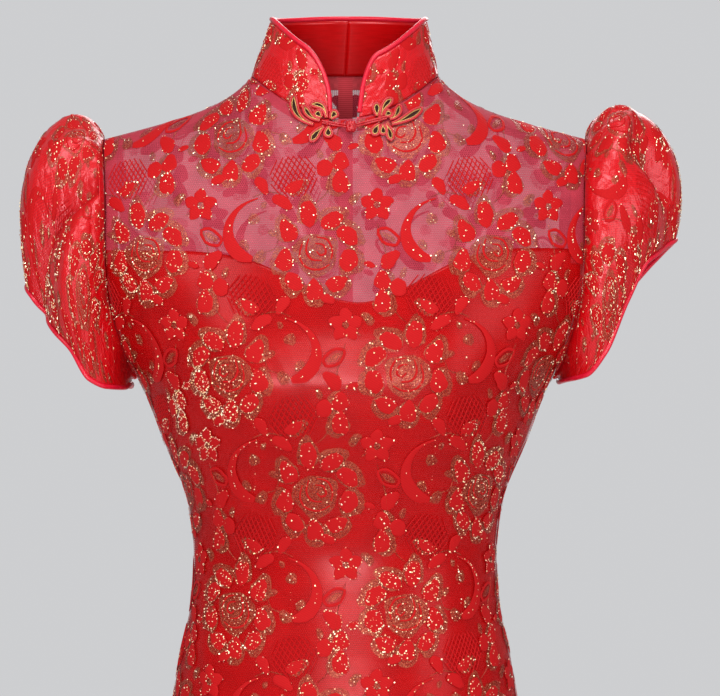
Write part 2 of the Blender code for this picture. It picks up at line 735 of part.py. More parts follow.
def zip_pull():
    """The slider at the top of the back zip, and the tab that hangs from its bail and swings on it."""
    back = collar_grids("left")[0]
    low = Vector(back[0][-1])
    high = Vector(back[-1][-1])
    lean = (high - low).normalized()
    out = Vector((0, lean.z, -lean.y))
    seat = low + lean * ((ZIP_AXIS_Z - low.z) / lean.z)
    seat = Vector((0, seat.y, seat.z)) + out * SEAM_GAP * 2

    def place(x, y, z):
        return seat + Vector((x, 0, 0)) + out * y + lean * z

    def block(bm, low_corner, high_corner):
        corners = [
            bm.verts.new(place(x, y, z))
            for x in (low_corner[0], high_corner[0])
            for y in (low_corner[1], high_corner[1])
            for z in (low_corner[2], high_corner[2])
        ]
        for ids in ((0, 1, 3, 2), (4, 6, 7, 5), (0, 4, 5, 1), (2, 3, 7, 6), (0, 2, 6, 4), (1, 5, 7, 3)):
            bm.faces.new([corners[i] for i in ids])

    half_w = SLIDER[0] / 2
    half_h = SLIDER[2] / 2
    bar = TAB[1] / 2
    leg = bar * math.sqrt(2) + SEAM_GAP
    crown = SLIDER[1] + AXIS_HEIGHT + leg
    # the slider is a block with a square bail on it, and the bail's hole leaves room for the turning bar
    bm = bmesh.new()
    block(bm, (-half_w, 0, -half_h), (half_w, SLIDER[1], half_h))
    slider = make_object("zip_slider", bm, ZIP_METAL)
    bm = bmesh.new()
    foot = (-BAIL_WIDTH / 2, SLIDER[1] - BAIL_WIRE, -leg - BAIL_WIRE)
    block(bm, foot, (BAIL_WIDTH / 2, crown + BAIL_WIRE, leg + BAIL_WIRE))
    bail = make_object("bail_guide", bm, ZIP_METAL)
    bm = bmesh.new()
    block(bm, (-BAIL_WIDTH, SLIDER[1], -leg), (BAIL_WIDTH, crown, leg))
    hole = make_object("bail_hole", bm, ZIP_METAL)
    for cutter in (bail, hole):
        cutter.hide_render = True
        cutter.display_type = "WIRE"
    for operation, cutter in (("UNION", bail), ("DIFFERENCE", hole)):
        cut = slider.modifiers.new(operation.lower(), "BOOLEAN")
        cut.operation = operation
        cut.object = cutter
        cut.solver = "EXACT"
    # the tab's bar lies on the axis, and the tab hangs down against the sloping collar
    axis = place(0, SLIDER[1] + AXIS_HEIGHT, 0)
    bm = bmesh.new()
    half = TAB[0] / 2
    right_edge = [(half * wide, -TAB[2] * down) for wide, down in TAB_EDGE]
    outline = [(-half, bar), (half, bar)] + right_edge + [(-x, z) for x, z in reversed(right_edge)]
    eye = TAB_EYE[0] / 2
    window = [(-eye, -bar), (eye, -bar), (eye, -bar - TAB_EYE[1]), (-eye, -bar - TAB_EYE[1])]
    faces = []
    for y in (-bar, bar):
        rim = [bm.verts.new(axis + Vector((x, 0, 0)) + lean * z + out * y) for x, z in outline]
        gap = [bm.verts.new(axis + Vector((x, 0, 0)) + lean * z + out * y) for x, z in window]
        faces.append((rim, gap))
        bm.faces.new((rim[0], rim[1], gap[1], gap[0]))
        bm.faces.new((rim[1], rim[2], gap[2], gap[1]))
        bm.faces.new((rim[2], rim[7], gap[3], gap[2]))
        bm.faces.new((rim[7], rim[0], gap[0], gap[3]))
        bm.faces.new([rim[k] for k in (2, 3, 4, 5, 6, 7)])
    for ring_id in (0, 1):
        a = faces[0][ring_id]
        b = faces[1][ring_id]
        for k in range(len(a)):
            n = (k + 1) % len(a)
            bm.faces.new((a[k], a[n], b[n], b[k]))
    tab = make_object("zip_tab", bm, ZIP_METAL)
    for vertex in tab.data.vertices:
        vertex.co -= axis
    tab.location = axis


body_panels()
sleeves()
collar()
frog()
zip_pull()
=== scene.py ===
# %% [markdown]
# # A red lace cheongsam for a wedding
# The dress is a fitted sheath: lace with metallic thread over a satin lining, and above the lining a
# sheer net yoke. It has a stand collar with a corded frog, puffed petal sleeves and piped edges. The
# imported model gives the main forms; this lesson dresses them in cloth, lace, cord and metal.

# %% Load the frame
import math
from collections import namedtuple

import bmesh
import bpy
import numpy as np
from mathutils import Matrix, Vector


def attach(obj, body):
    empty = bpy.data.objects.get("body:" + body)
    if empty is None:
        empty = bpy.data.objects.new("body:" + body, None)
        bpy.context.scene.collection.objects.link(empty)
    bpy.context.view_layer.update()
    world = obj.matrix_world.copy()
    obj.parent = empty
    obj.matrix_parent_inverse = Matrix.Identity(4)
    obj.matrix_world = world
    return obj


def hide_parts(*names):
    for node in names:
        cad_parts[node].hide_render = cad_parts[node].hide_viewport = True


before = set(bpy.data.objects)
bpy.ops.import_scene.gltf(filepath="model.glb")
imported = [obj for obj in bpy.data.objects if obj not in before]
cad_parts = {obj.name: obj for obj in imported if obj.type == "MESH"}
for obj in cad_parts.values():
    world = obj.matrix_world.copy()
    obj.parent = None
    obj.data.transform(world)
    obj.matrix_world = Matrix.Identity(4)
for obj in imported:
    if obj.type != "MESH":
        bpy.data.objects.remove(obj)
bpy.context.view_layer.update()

MM = 0.001

# %% [markdown]
# ## Camera and light
# The photograph looks straight at the bust from about two metres away, so the lens is long and level. A
# broad light from the front left and a soft one overhead shape the folds, and a low one behind the camera
# gives the satin its band of light along the bust. The pale world is a light tent: it fills the shadows
# with a little less than its own brightness. The floor is a plain pale sheet below the hem.

# %% Camera, lights, floor
EYE = Vector((0.012, -2.2, -0.2144))
FRAME_WIDTH = 0.576
SENSOR = 36.0
camera_data = bpy.data.cameras.new("camera")
camera_data.sensor_width = SENSOR
camera_data.lens = SENSOR * abs(EYE.y) / FRAME_WIDTH
camera = bpy.data.objects.new("camera", camera_data)
camera.location = EYE
camera.rotation_euler = (math.radians(90), 0, 0)
bpy.context.scene.collection.objects.link(camera)
bpy.context.scene.camera = camera

Light = namedtuple("Light", "name place target size power")
LIGHTS = (
    Light("front_left", (-1.5, -2.0, 1.0), (0, 0, -0.25), 1.3, 38),
    Light("overhead", (0.2, -1.0, 1.6), (0, 0, -0.25), 1.0, 27),
    Light("behind_camera", (0.05, -2.9, -0.5), (0, 0, -0.26), 0.5, 36),
    Light("front_right", (1.8, -1.7, 0.1), (0, 0, -0.4), 1.2, 17),
    Light("behind", (0.4, 1.9, 0.9), (0, 0, -0.4), 1.4, 22),
)
for name, place, target, size, power in LIGHTS:
    light_data = bpy.data.lights.new(name, "AREA")
    light_data.size = size
    light_data.energy = power
    light = bpy.data.objects.new(name, light_data)
    light.location = place
    light.rotation_euler = (Vector(target) - Vector(place)).to_track_quat("-Z", "Y").to_euler()
    bpy.context.scene.collection.objects.link(light)

# the plain view transform keeps the reds as deep as the photograph's
bpy.context.scene.view_settings.view_transform = "Standard"
WORLD_COLOUR = (0.66, 0.665, 0.68, 1)
WORLD_SEEN = 0.93
WORLD_LIGHT = 0.52
world = bpy.data.worlds.new("light tent")
bpy.context.scene.world = world
world.use_nodes = True
backdrop = world.node_tree.nodes["Background"]
backdrop.inputs["Color"].default_value = WORLD_COLOUR
seen = world.node_tree.nodes.new("ShaderNodeLightPath")
strength = world.node_tree.nodes.new("ShaderNodeMapRange")
strength.inputs["To Min"].default_value = WORLD_LIGHT
strength.inputs["To Max"].default_value = WORLD_SEEN
world.node_tree.links.new(seen.outputs["Is Camera Ray"], strength.inputs["Value"])
world.node_tree.links.new(strength.outputs["Result"], backdrop.inputs["Strength"])

FLOOR_Z = -1.03
FLOOR_SIZE = 8
bpy.ops.object.select_all(action="DESELECT")
bpy.ops.mesh.primitive_plane_add(size=FLOOR_SIZE, location=(0, 0, FLOOR_Z))
floor = bpy.context.object
floor.name = "floor"
bpy.ops.object.transform_apply(location=True)
print("camera lens", round(camera_data.lens, 1), "mm")

# %% [markdown]
# ## Helpers for finishes
# Colours are picked from the screen as sRGB hex values, and shaders want linear ones, so one function
# turns them. Another adds a node with its settings, values and links, so that each material reads as a
# short list. The others start a material, blend two tones in its colour and bump its surface.

# %% Colour and node helpers
def colour(hex_value):
    """An sRGB hex value as linear RGBA."""
    channels = [int(hex_value[i : i + 2], 16) / 255 for i in (1, 3, 5)]
    return [c / 12.92 if c <= 0.04045 else ((c + 0.055) / 1.055) ** 2.4 for c in channels] + [1]


def add_node(tree, kind, settings=None, values=None, links=None):
    """Adds a node with its settings, its unlinked values and its links."""
    node = tree.nodes.new(kind)
    for key, value in (settings or {}).items():
        setattr(node, key, value)
    for key, value in (values or {}).items():
        node.inputs[key].default_value = value
    for key, socket in (links or {}).items():
        tree.links.new(socket, node.inputs[key])
    return node


def new_material(name, **values):
    """A material with its shader's own numbers set; returns it with its tree and shader."""
    mat = bpy.data.materials.new(name)
    mat.use_nodes = True
    shader = mat.node_tree.nodes["Principled BSDF"]
    for key, value in values.items():
        shader.inputs[key.replace("_", " ")].default_value = value
    return mat, mat.node_tree, shader


def two_tones(tree, shader, driver, low, high, first, second):
    """Blends two colours by a driver value from low to high, into the base colour."""
    ramp = add_node(
        tree, "ShaderNodeMapRange", {"clamp": True}, {"From Min": low, "From Max": high}, {"Value": driver}
    )
    blend = add_node(tree, "ShaderNodeMix", {"data_type": "RGBA"}, None, {"Factor": ramp.outputs["Result"]})
    # a colour mix has its colours A and B at 6 and 7 and its result at 2
    blend.inputs[6].default_value = colour(first)
    blend.inputs[7].default_value = colour(second)
    tree.links.new(blend.outputs[2], shader.inputs["Base Color"])


def relief(tree, shader, height, strength, distance):
    """Bumps the surface by a height value; distance is in metres."""
    bump = add_node(
        tree, "ShaderNodeBump", None, {"Strength": strength, "Distance": distance}, {"Height": height}
    )
    tree.links.new(bump.outputs["Normal"], shader.inputs["Normal"])


print("helpers ready")

# %% [markdown]
# ## Floor finish
# Painted board: matt and almost white, with the faintest mottle.

# %% Floor material
# painted board: no gloss, so the light falls off evenly over it
floor_paint, tree, shader = new_material("matt white board", Roughness=0.9)
place = add_node(tree, "ShaderNodeTexCoord")
mottle = add_node(tree, "ShaderNodeTexNoise", None, {"Scale": 3.0}, {"Vector": place.outputs["Object"]})
two_tones(tree, shader, mottle.outputs["Fac"], 0.3, 0.7, "#D6D6D8", "#DCDCDD")
floor.data.materials.append(floor_paint)
print(floor_paint.name)

# %% [markdown]
# ## Net
# The ground of the lace is warp-knitted nylon net with six-sided holes. Three sets of waves, a third of a
# half turn apart, add up to such holes, and the sum drives the shader's alpha. The real pitch is about
# 1.6 mm, two pixels of the picture, and is drawn at 1.7 mm. To the eye it is a fine grain, and where it
# has no lining it is sheer.

# %% Net material
NET_PITCH = 1.7 * MM
# the wave sum at which a thread starts to thin out and at which a hole is fully open
NET_THREAD = -0.4
NET_HOLE = 1.4


def net_sum(tree, uv):
    """The sum of three cosine waves at 60 degrees: 3 in the middle of a hole, -1.5 where threads meet."""
    wave_number = 4 * math.pi / (math.sqrt(3) * NET_PITCH)
    total = None
    for turn in (30, 90, 150):
        direction = (wave_number * math.cos(math.radians(turn)), wave_number * math.sin(math.radians(turn)), 0)
        along = add_node(tree, "ShaderNodeVectorMath", {"operation": "DOT_PRODUCT"}, {1: direction}, {0: uv})
        wave = add_node(tree, "ShaderNodeMath", {"operation": "COSINE"}, None, {0: along.outputs["Value"]})
        if total is None:
            total = wave
        else:
            total = add_node(
                tree, "ShaderNodeMath", {"operation": "ADD"}, None, {0: total.outputs[0], 1: wave.outputs[0]}
            )
    return total.outputs[0]


def net_material(name, thread, shade, least, most):
    """Net with a thread colour and its shade; least and most are the alpha in a hole and on a thread."""
    mat, tree, shader = new_material(name, Roughness=0.8, Specular_IOR_Level=0.12)
    uv = add_node(tree, "ShaderNodeUVMap", {"uv_map": "cloth"}).outputs["UV"]
    holes = net_sum(tree, uv)
    alpha = add_node(
        tree, "ShaderNodeMapRange", {"clamp": True},
        {"From Min": NET_THREAD, "From Max": NET_HOLE, "To Min": most, "To Max": least}, {"Value": holes},
    )
    tree.links.new(alpha.outputs["Result"], shader.inputs["Alpha"])
    cloud = add_node(tree, "ShaderNodeTexNoise", None, {"Scale": 35.0, "Detail": 2.0}, {"Vector": uv})
    two_tones(tree, shader, cloud.outputs["Fac"], 0.35, 0.65, thread, shade)
    return mat


# nylon, knitted: dull and fine over the lining, and a pale veil where nothing lies under it
NET = net_material("nylon net over lining", "#B40002", "#9E0002", 0.08, 0.62)
SHEER = net_material("nylon net alone", "#B43C4C", "#A03040", 0.42, 0.74)
print(NET.name, SHEER.name)

# %% [markdown]
# ## Satin
# The lining is polyester satin: floats of smooth thread that throw a broad, pinkish light along the bust
# and dark red beside it. A low roughness gives the sheen, and faint slubs, stretched along the weft, keep
# it from looking like plastic.

# %% Satin materials
def satin_material(name, deep, light, roughness):
    mat, tree, shader = new_material(
        name, Roughness=roughness, Specular_IOR_Level=0.75, Specular_Tint=colour("#FFB0B4"), Sheen_Weight=0.05,
        Sheen_Roughness=0.35, Sheen_Tint=colour("#F04060"),
    )
    uv = add_node(tree, "ShaderNodeUVMap", {"uv_map": "cloth"}).outputs["UV"]
    slub_place = add_node(tree, "ShaderNodeMapping", None, {"Scale": (60.0, 900.0, 1.0)}, {"Vector": uv})
    slub = add_node(
        tree, "ShaderNodeTexNoise", None, {"Scale": 1.0, "Detail": 3.0},
        {"Vector": slub_place.outputs["Vector"]},
    )
    two_tones(tree, shader, slub.outputs["Fac"], 0.3, 0.75, deep, light)
    relief(tree, shader, slub.outputs["Fac"], 0.12, 0.0004)
    return mat


# polyester, woven in satin: deep red, with one broad soft band of light where it faces the lamp
SATIN = satin_material("polyester satin", "#A20000", "#B60408", 0.26)
# the same satin cut on the bias, its colours painted lighter and pinker as a painted highlight where it turns
# round the cord
PIPING_SATIN_PAINTED_LIGHTER = satin_material("bias satin piping painted lighter", "#B80820", "#CC1834", 0.3)
print(SATIN.name, PIPING_SATIN_PAINTED_LIGHTER.name)

# %% [markdown]
# ## Thread, metallic thread and glitter
# The solid motifs are dense viscose thread: matt, bright red, with fine ribs along the stitches, their grooves
# given painted shade. Round them run areas of net laid in with metallised film thread, brown-gold from afar
# and full of sparks close up, painted as lighter and darker cells. The brightest sparks are modelled as tiny
# facets of film, painted pale as highlights.

# %% Thread, film thread and glitter materials
# viscose thread, laid in: dense and matt, so the motifs stay bright red at every angle
STITCH_PITCH = 1.2 * MM
STITCH_TURN = math.radians(68)
THREAD, tree, shader = new_material(
    "viscose motif thread", Roughness=0.7, Specular_IOR_Level=0.15, Sheen_Weight=0.03,
    Sheen_Tint=colour("#FF3040"),
)
uv = add_node(tree, "ShaderNodeUVMap", {"uv_map": "cloth"}).outputs["UV"]
stitch_place = add_node(tree, "ShaderNodeMapping", None, {"Rotation": (0, 0, STITCH_TURN)}, {"Vector": uv})
stitches = add_node(
    tree, "ShaderNodeTexWave", {"wave_type": "BANDS"},
    {"Scale": math.pi / (STITCH_PITCH * 10), "Distortion": 1.5, "Detail": 1.0, "Detail Scale": 2.0},
    {"Vector": stitch_place.outputs["Vector"]},
)
# painted shade: the stitch bands are darker in their grooves and lighter on their ridges, over the bump
two_tones(tree, shader, stitches.outputs["Fac"], 0.0, 1.0, "#9C0206", "#B20A0E")
relief(tree, shader, stitches.outputs["Fac"], 0.25, 0.0003)

# flat film thread on open net: brown-gold from afar, its own colour; close up a light and a dark cell side by
# side, a painted glint
SPARK_SIZE = 0.6 * MM
FILM, tree, shader = new_material("metallised film thread on net", Metallic=0.45, Roughness=0.42)
uv = add_node(tree, "ShaderNodeUVMap", {"uv_map": "cloth"}).outputs["UV"]
sparks = add_node(tree, "ShaderNodeTexVoronoi", None, {"Scale": 1 / SPARK_SIZE}, {"Vector": uv})
spark = add_node(tree, "ShaderNodeSeparateColor", None, None, {"Color": sparks.outputs["Color"]}).outputs["Red"]
# painted glint: each cell is painted lighter or darker, as if its facet caught the light or not
two_tones(tree, shader, spark, 0.3, 1.0, "#8A2416", "#B25A3C")
relief(tree, shader, spark, 0.6, 0.0004)
film_alpha = add_node(
    tree, "ShaderNodeMapRange", {"clamp": True},
    {"From Min": 0.2, "From Max": 0.7, "To Min": 0.2, "To Max": 0.68}, {"Value": spark},
)
tree.links.new(film_alpha.outputs["Result"], shader.inputs["Alpha"])

# facets of the same film, tilted so that some catch the light, their colour painted pale gold and near white as
# a painted highlight
GLITTER_PAINTED_AS_HIGHLIGHT, tree, shader = new_material("gold film glitter painted pale", Metallic=0.35, Roughness=0.28)
uv = add_node(tree, "ShaderNodeUVMap", {"uv_map": "cloth"}).outputs["UV"]
tone = add_node(tree, "ShaderNodeTexNoise", None, {"Scale": 260.0}, {"Vector": uv})
two_tones(tree, shader, tone.outputs["Fac"], 0.35, 0.65, "#FFDDA0", "#FFF2D8")
print(THREAD.name, FILM.name, GLITTER_PAINTED_AS_HIGHLIGHT.name)

# %% [markdown]
# ## The body's measures
# The shell of cloth repeats the model's own measures: a half width, a front depth and a back depth at
# each height, joined by smooth curves, with mounds for the bust. A finer grid can then hold the small
# creases that the solid leaves out.

# %% Measures of the body
Section = namedtuple("Section", "z width share front back")
Fold = namedtuple("Fold", "side x0 z0 x1 z1 width depth")
Mound = namedtuple("Mound", "x z width height forward")

NECK_HALF_WIDTH = 75 * MM
NECK_Z = 2 * MM
NECK_DROP_FRONT = 39 * MM
NECK_RISE_BACK = 6 * MM
SHOULDER_HALF_WIDTH = 192 * MM
SHOULDER_SLOPE = 0.25
SHOULDER_START_DROP = 20 * MM
SHOULDER_START_RUN = 22 * MM
NECK_RIDGE_RISE = {"front": 0.1, "back": 0.9}
HEM_Z = -1000 * MM
SLIT_Z = -790 * MM
SLIT_OPENING = 5 * MM
SHOULDER_ROUND = 70 * MM
SECTION_POWER = 2.4
RELIEF_FADE = 2.5
SWEETHEART_SIDE = -138 * MM
SWEETHEART_DIP = 42 * MM
SWEETHEART_CENTRE = 13 * MM
SWEETHEART_WIDTH = 70 * MM
SWEETHEART_TILT = 0.02
BACK_LINING_DIP = 50 * MM
YOKE_ROWS = 6
LOWER_ROWS = 22
UNDERARM_ROWS = 4
LEVEL_FADE = 0.35
EVEN_SHARE = 0.55
YOKE_CROWDING = 1.6
SETTLING_STEPS = 6

BODY = (
    Section(10, 225, 0.853, 66, 62),
    Section(-40, 225, 0.853, 76, 76),
    Section(-90, 222, 0.842, 96, 96),
    Section(-138, 216, 0.861, 110, 104),
    Section(-168, 208, 0.889, 116, 106),
    Section(-208, 187, 0.941, 120, 105),
    Section(-237, 166, 1.000, 120, 102),
    Section(-256, 157, 1.000, 117, 100),
    Section(-288, 145, 1.000, 109, 96),
    Section(-340, 125, 1.000, 95, 88),
    Section(-379, 121, 1.000, 87, 84),
    Section(-418, 123.5, 1.000, 90, 92),
    Section(-458, 132, 1.000, 95, 101),
    Section(-493, 137.5, 1.000, 99, 108),
    Section(-540, 146, 1.000, 102, 115),
    Section(-590, 154, 1.000, 105, 119),
    Section(-640, 158, 1.000, 106, 118),
    Section(-720, 157, 1.000, 104, 113),
    Section(-850, 151, 1.000, 100, 106),
    Section(-1000, 146, 1.000, 97, 102),
)
BUST = (
    Mound(-84, -252, 52, 62, 11),
    Mound(84, -252, 52, 62, 11),
)


def smooth_row(table, key, column, at):
    """A smooth curve through one column of a table, read at a value of the key column."""
    rows = sorted(table, key=lambda row: getattr(row, key))
    xs = [getattr(row, key) for row in rows]
    ys = [getattr(row, column) for row in rows]
    if at <= xs[0]:
        return ys[0]
    if at >= xs[-1]:
        return ys[-1]
    i = max(k for k in range(len(xs) - 1) if xs[k] <= at)

    def slope(k):
        if k == 0 or k == len(xs) - 1:
            return 0.0
        before = (ys[k] - ys[k - 1]) / (xs[k] - xs[k - 1])
        after = (ys[k + 1] - ys[k]) / (xs[k + 1] - xs[k])
        return 0.0 if before * after <= 0 else 2 * before * after / (before + after)

    step = xs[i + 1] - xs[i]
    t = (at - xs[i]) / step
    keep = (1 + 2 * t) * (1 - t) ** 2 * ys[i] + t * t * (3 - 2 * t) * ys[i + 1]
    return keep + step * (t * (1 - t) ** 2 * slope(i) - t * t * (1 - t) * slope(i + 1))


HEIGHTS = np.arange(-1.0, 0.0105, 0.0005)
UNITS = {"width": MM, "share": 1, "front": MM, "back": MM}
CURVES = {
    column: np.array([smooth_row(BODY, "z", column, z / MM) for z in HEIGHTS]) * unit
    for column, unit in UNITS.items()
}


def body(column, z):
    return np.interp(z, HEIGHTS, CURVES[column])


print("half width at the waist", round(float(body("width", -0.379)) / MM, 1), "mm")

# %% [markdown]
# ## Creases
# Each crease is a line with a width and a depth, pressed softly into the cloth: below 0 it is a trough,
# above 0 a ridge. The first ones are the large folds that the solid has too. The rest are the finer drag
# lines from the armholes, the ripples at the waist and the small puckers beside the seams.

# %% Folds and creases
FOLDS = (
    Fold("front", -184, -165, -146, -232, 12, -4.5),
    Fold("front", -146, -232, -136, -292, 12, -4.0),
    Fold("front", -166, -190, -132, -262, 11, 3.0),
    Fold("front", 158, -206, 138, -262, 12, -4.0),
    Fold("front", 146, -190, 122, -250, 12, 2.5),
    Fold("front", -118, -350, -70, -392, 12, -2.5),
    Fold("front", 118, -392, 104, -480, 13, -2.5),
    Fold("front", -104, -420, -112, -520, 13, 2.5),
    Fold("front", -60, -760, -74, -1000, 30, -5.0),
    Fold("front", 66, -740, 80, -1000, 30, -5.0),
    Fold("front", 4, -800, 0, -1000, 34, 4.0),
    Fold("back", -86, -350, -40, -384, 14, -2.5),
    Fold("back", 86, -350, 40, -384, 14, -2.5),
    Fold("back", -74, -740, -86, -1000, 32, -5.0),
    Fold("back", 74, -740, 86, -1000, 32, -5.0),
)
CREASES = (
    Fold("front", -184, -176, -141, -262, 4.5, -2.6),
    Fold("front", -163, -180, -139, -232, 4.0, -1.8),
    Fold("front", -150, -200, -128, -300, 5.0, 1.6),
    Fold("front", -138, -290, -116, -352, 4.5, -1.6),
    Fold("front", -124, -330, -92, -352, 4.0, -1.2),
    Fold("front", -128, -356, -84, -392, 4.5, -1.5),
    Fold("front", -126, -384, -92, -436, 4.5, -1.3),
    Fold("front", -128, -420, -104, -490, 5.0, -1.4),
    Fold("front", -112, -448, -96, -520, 5.0, 1.2),
    Fold("front", 168, -190, 146, -262, 4.5, -2.2),
    Fold("front", 156, -232, 132, -296, 4.5, -1.8),
    Fold("front", 140, -262, 118, -318, 4.0, 1.4),
    Fold("front", 128, -350, 92, -372, 4.5, -1.2),
    Fold("front", 124, -380, 106, -440, 5.0, -1.6),
    Fold("front", 116, -392, 98, -486, 5.0, 1.3),
    Fold("front", 132, -440, 112, -520, 5.0, -1.5),
    Fold("front", -60, -196, -30, -262, 7.0, -0.9),
    Fold("front", 66, -190, 40, -258, 7.0, -0.9),
    Fold("back", -168, -190, -140, -262, 5.0, -2.0),
    Fold("back", 168, -190, 140, -262, 5.0, -2.0),
    Fold("back", -118, -340, -62, -372, 5.0, -1.4),
    Fold("back", 118, -340, 62, -372, 5.0, -1.4),
    Fold("back", -110, -372, -54, -398, 5.0, -1.4),
    Fold("back", 110, -372, 54, -398, 5.0, -1.4),
    Fold("back", -120, -430, -102, -500, 5.5, -1.3),
    Fold("back", 120, -430, 102, -500, 5.5, -1.3),
)


def crease_relief(x, z, side):
    """The sum of the folds and creases at each point, deepest at the middle of each line."""
    total = np.zeros_like(x)
    for fold in FOLDS + CREASES:
        if fold.side != side:
            continue
        start = np.array((fold.x0, fold.z0)) * MM
        run = np.array((fold.x1, fold.z1)) * MM - start
        t = np.clip(((x - start[0]) * run[0] + (z - start[1]) * run[1]) / (run @ run), 0, 1)
        away = np.hypot(x - start[0] - run[0] * t, z - start[1] - run[1] * t) / (fold.width * MM)
        total += fold.depth * MM * np.exp(-away * away) * np.sin(np.pi * (0.15 + 0.7 * t))
    return total


print(len(FOLDS) + len(CREASES), "folds and creases")

# %% [markdown]
# ## Points on the body
# These functions give the edges of the panels and the depth of the body at any place, for whole arrays at
# once. Rows of points bend from the neck and shoulder to the sweetheart line and are level below the
# bust, as the panels are cut.

# %% Edges and depth of the body
def shoulder_line(x):
    out = np.abs(x) - NECK_HALF_WIDTH
    first_drop = SHOULDER_START_DROP * (1 - np.exp(-np.maximum(out, 0) / SHOULDER_START_RUN))
    return NECK_Z - first_drop - SHOULDER_SLOPE * out


def ridge(x, side):
    inside = NECK_Z + NECK_RIDGE_RISE[side] * (NECK_HALF_WIDTH - np.abs(x))
    return np.where(np.abs(x) >= NECK_HALF_WIDTH, shoulder_line(x), inside)


def top_edge(x, side):
    share = 1 - (x / NECK_HALF_WIDTH) ** 2
    neck = NECK_Z - NECK_DROP_FRONT * share if side == "front" else NECK_Z + NECK_RISE_BACK * share
    return np.where(np.abs(x) >= NECK_HALF_WIDTH, shoulder_line(x), neck)


def lining_edge(x, side):
    inside = np.maximum(0.0, 1 - (x / SHOULDER_HALF_WIDTH) ** 2)
    if side == "back":
        return SWEETHEART_SIDE - BACK_LINING_DIP * inside
    dip = SWEETHEART_DIP * np.exp(-(((x - SWEETHEART_CENTRE) / SWEETHEART_WIDTH) ** 2))
    return SWEETHEART_SIDE + (SWEETHEART_TILT * x - dip) * inside


def row_height(row, x, side):
    yoke_share = np.clip(row / YOKE_ROWS, 0, 1) ** YOKE_CROWDING
    yoke = top_edge(x, side) + (lining_edge(x, side) - top_edge(x, side)) * yoke_share
    w = np.maximum(row - YOKE_ROWS, 0) / LOWER_ROWS
    level = SWEETHEART_SIDE - (SWEETHEART_SIDE - HEM_Z) * (EVEN_SHARE * w + (1 - EVEN_SHARE) * w * w)
    fade = np.maximum(0.0, 1 - w / LEVEL_FADE) ** 2
    lower = level + (lining_edge(x, side) - SWEETHEART_SIDE) * fade
    return np.where(row <= YOKE_ROWS, yoke, lower)


def depth_at(x, z, side):
    share = np.minimum(np.abs(x) / body("width", z), 1.0)
    across = np.sqrt(np.maximum(0.0, 1 - share**SECTION_POWER))
    drop = np.clip((ridge(x, side) - z) / SHOULDER_ROUND, 0, 1)
    bump = crease_relief(x, z, side)
    if side == "front":
        for m in BUST:
            away = ((x / MM - m.x) / m.width) ** 2 + ((z / MM - m.z) / m.height) ** 2
            bump = bump + m.forward * MM * np.exp(-away)
    return body(side, z) * across * np.sqrt(1 - (1 - drop) ** 2) + bump * np.minimum(1.0, RELIEF_FADE * across)


def on_body(x, z, side):
    """Points of the outer cloth at x and z."""
    y = depth_at(x, z, side)
    return np.stack([x, -y if side == "front" else y, z], axis=-1)


def panel_xz(row, u, side):
    """x and z of the panel's grid at a row and at u, from -1 to 1 across the body."""
    x = u * SHOULDER_HALF_WIDTH
    for _ in range(SETTLING_STEPS):
        z = row_height(row, x, side)
        x = body("width", z) * np.sin(u * np.arcsin(np.minimum(1.0, body("share", z))))
    return x, z


def grid_normals(points, outward):
    """Unit normals of a grid of points, turned to the side that outward points to."""
    across = np.gradient(points, axis=1)
    down = np.gradient(points, axis=0)
    normals = np.cross(across, down)
    normals /= np.maximum(np.linalg.norm(normals, axis=-1, keepdims=True), 1e-12)
    flip = np.sign(np.sum(normals * outward, axis=-1, keepdims=True))
    return normals * np.where(flip == 0, 1, flip)


bust_depth = float(depth_at(np.array(0.084), np.array(-0.25), "front"))
print("front depth at the bust", round(bust_depth / MM, 1), "mm")

# %% [markdown]
# ## Making a sheet
# Cloth is a grid of points with a UV map in metres of flat cloth, so a net or a weave keeps its real
# scale and follows the surface. A lining that shows both its faces gets a thin wall from a Solidify
# modifier.

# %% Sheet maker
def finish_mesh(name, mesh, materials, angle=60):
    """Links a mesh as a piece that rides on the dress."""
    for mat in materials:
        mesh.materials.append(mat)
    piece = bpy.data.objects.new(name, mesh)
    bpy.context.scene.collection.objects.link(piece)
    mesh.shade_smooth()
    mesh.set_sharp_from_angle(angle=math.radians(angle))
    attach(piece, "dress")
    return piece


def sheet_piece(name, points, flat, outward, materials, closed=False, wall=0.0):
    """A sheet over a grid of points, with flat cloth places as its UV map, faces towards outward."""
    rows, columns = points.shape[:2]
    across = columns if closed else columns - 1
    j, i = np.meshgrid(np.arange(rows - 1), np.arange(across), indexing="ij")
    k = (i + 1) % columns
    faces = np.stack([j * columns + i, j * columns + k, (j + 1) * columns + k, (j + 1) * columns + i], axis=-1)
    corners = np.stack([flat[j, i], flat[j, i + 1], flat[j + 1, i + 1], flat[j + 1, i]], axis=2).reshape(-1, 2)
    faces = faces.reshape(-1, 4)
    p = points.reshape(-1, 3)
    normal = np.cross(p[faces[:, 1]] - p[faces[:, 0]], p[faces[:, 3]] - p[faces[:, 0]])
    facing = np.broadcast_to(np.asarray(outward).reshape(-1, 3), (len(p), 3))[faces[:, 0]]
    if (normal * facing).sum() < 0:
        faces = faces[:, ::-1]
        corners = corners.reshape(-1, 4, 2)[:, ::-1].reshape(-1, 2)
    mesh = bpy.data.meshes.new(name)
    mesh.from_pydata(p.tolist(), [], faces.tolist())
    layer = mesh.uv_layers.new(name="cloth")
    layer.data.foreach_set("uv", corners.astype(np.float32).ravel())
    piece = finish_mesh(name, mesh, materials)
    if wall:
        solid = piece.modifiers.new("wall", "SOLIDIFY")
        solid.thickness = wall
        solid.offset = -1
        solid.use_rim = True
        if len(materials) > 1:
            solid.material_offset = 1
        bpy.ops.object.select_all(action="DESELECT")
        piece.select_set(True)
        bpy.context.view_layer.objects.active = piece
        bpy.ops.object.modifier_apply(modifier=solid.name)
    return piece


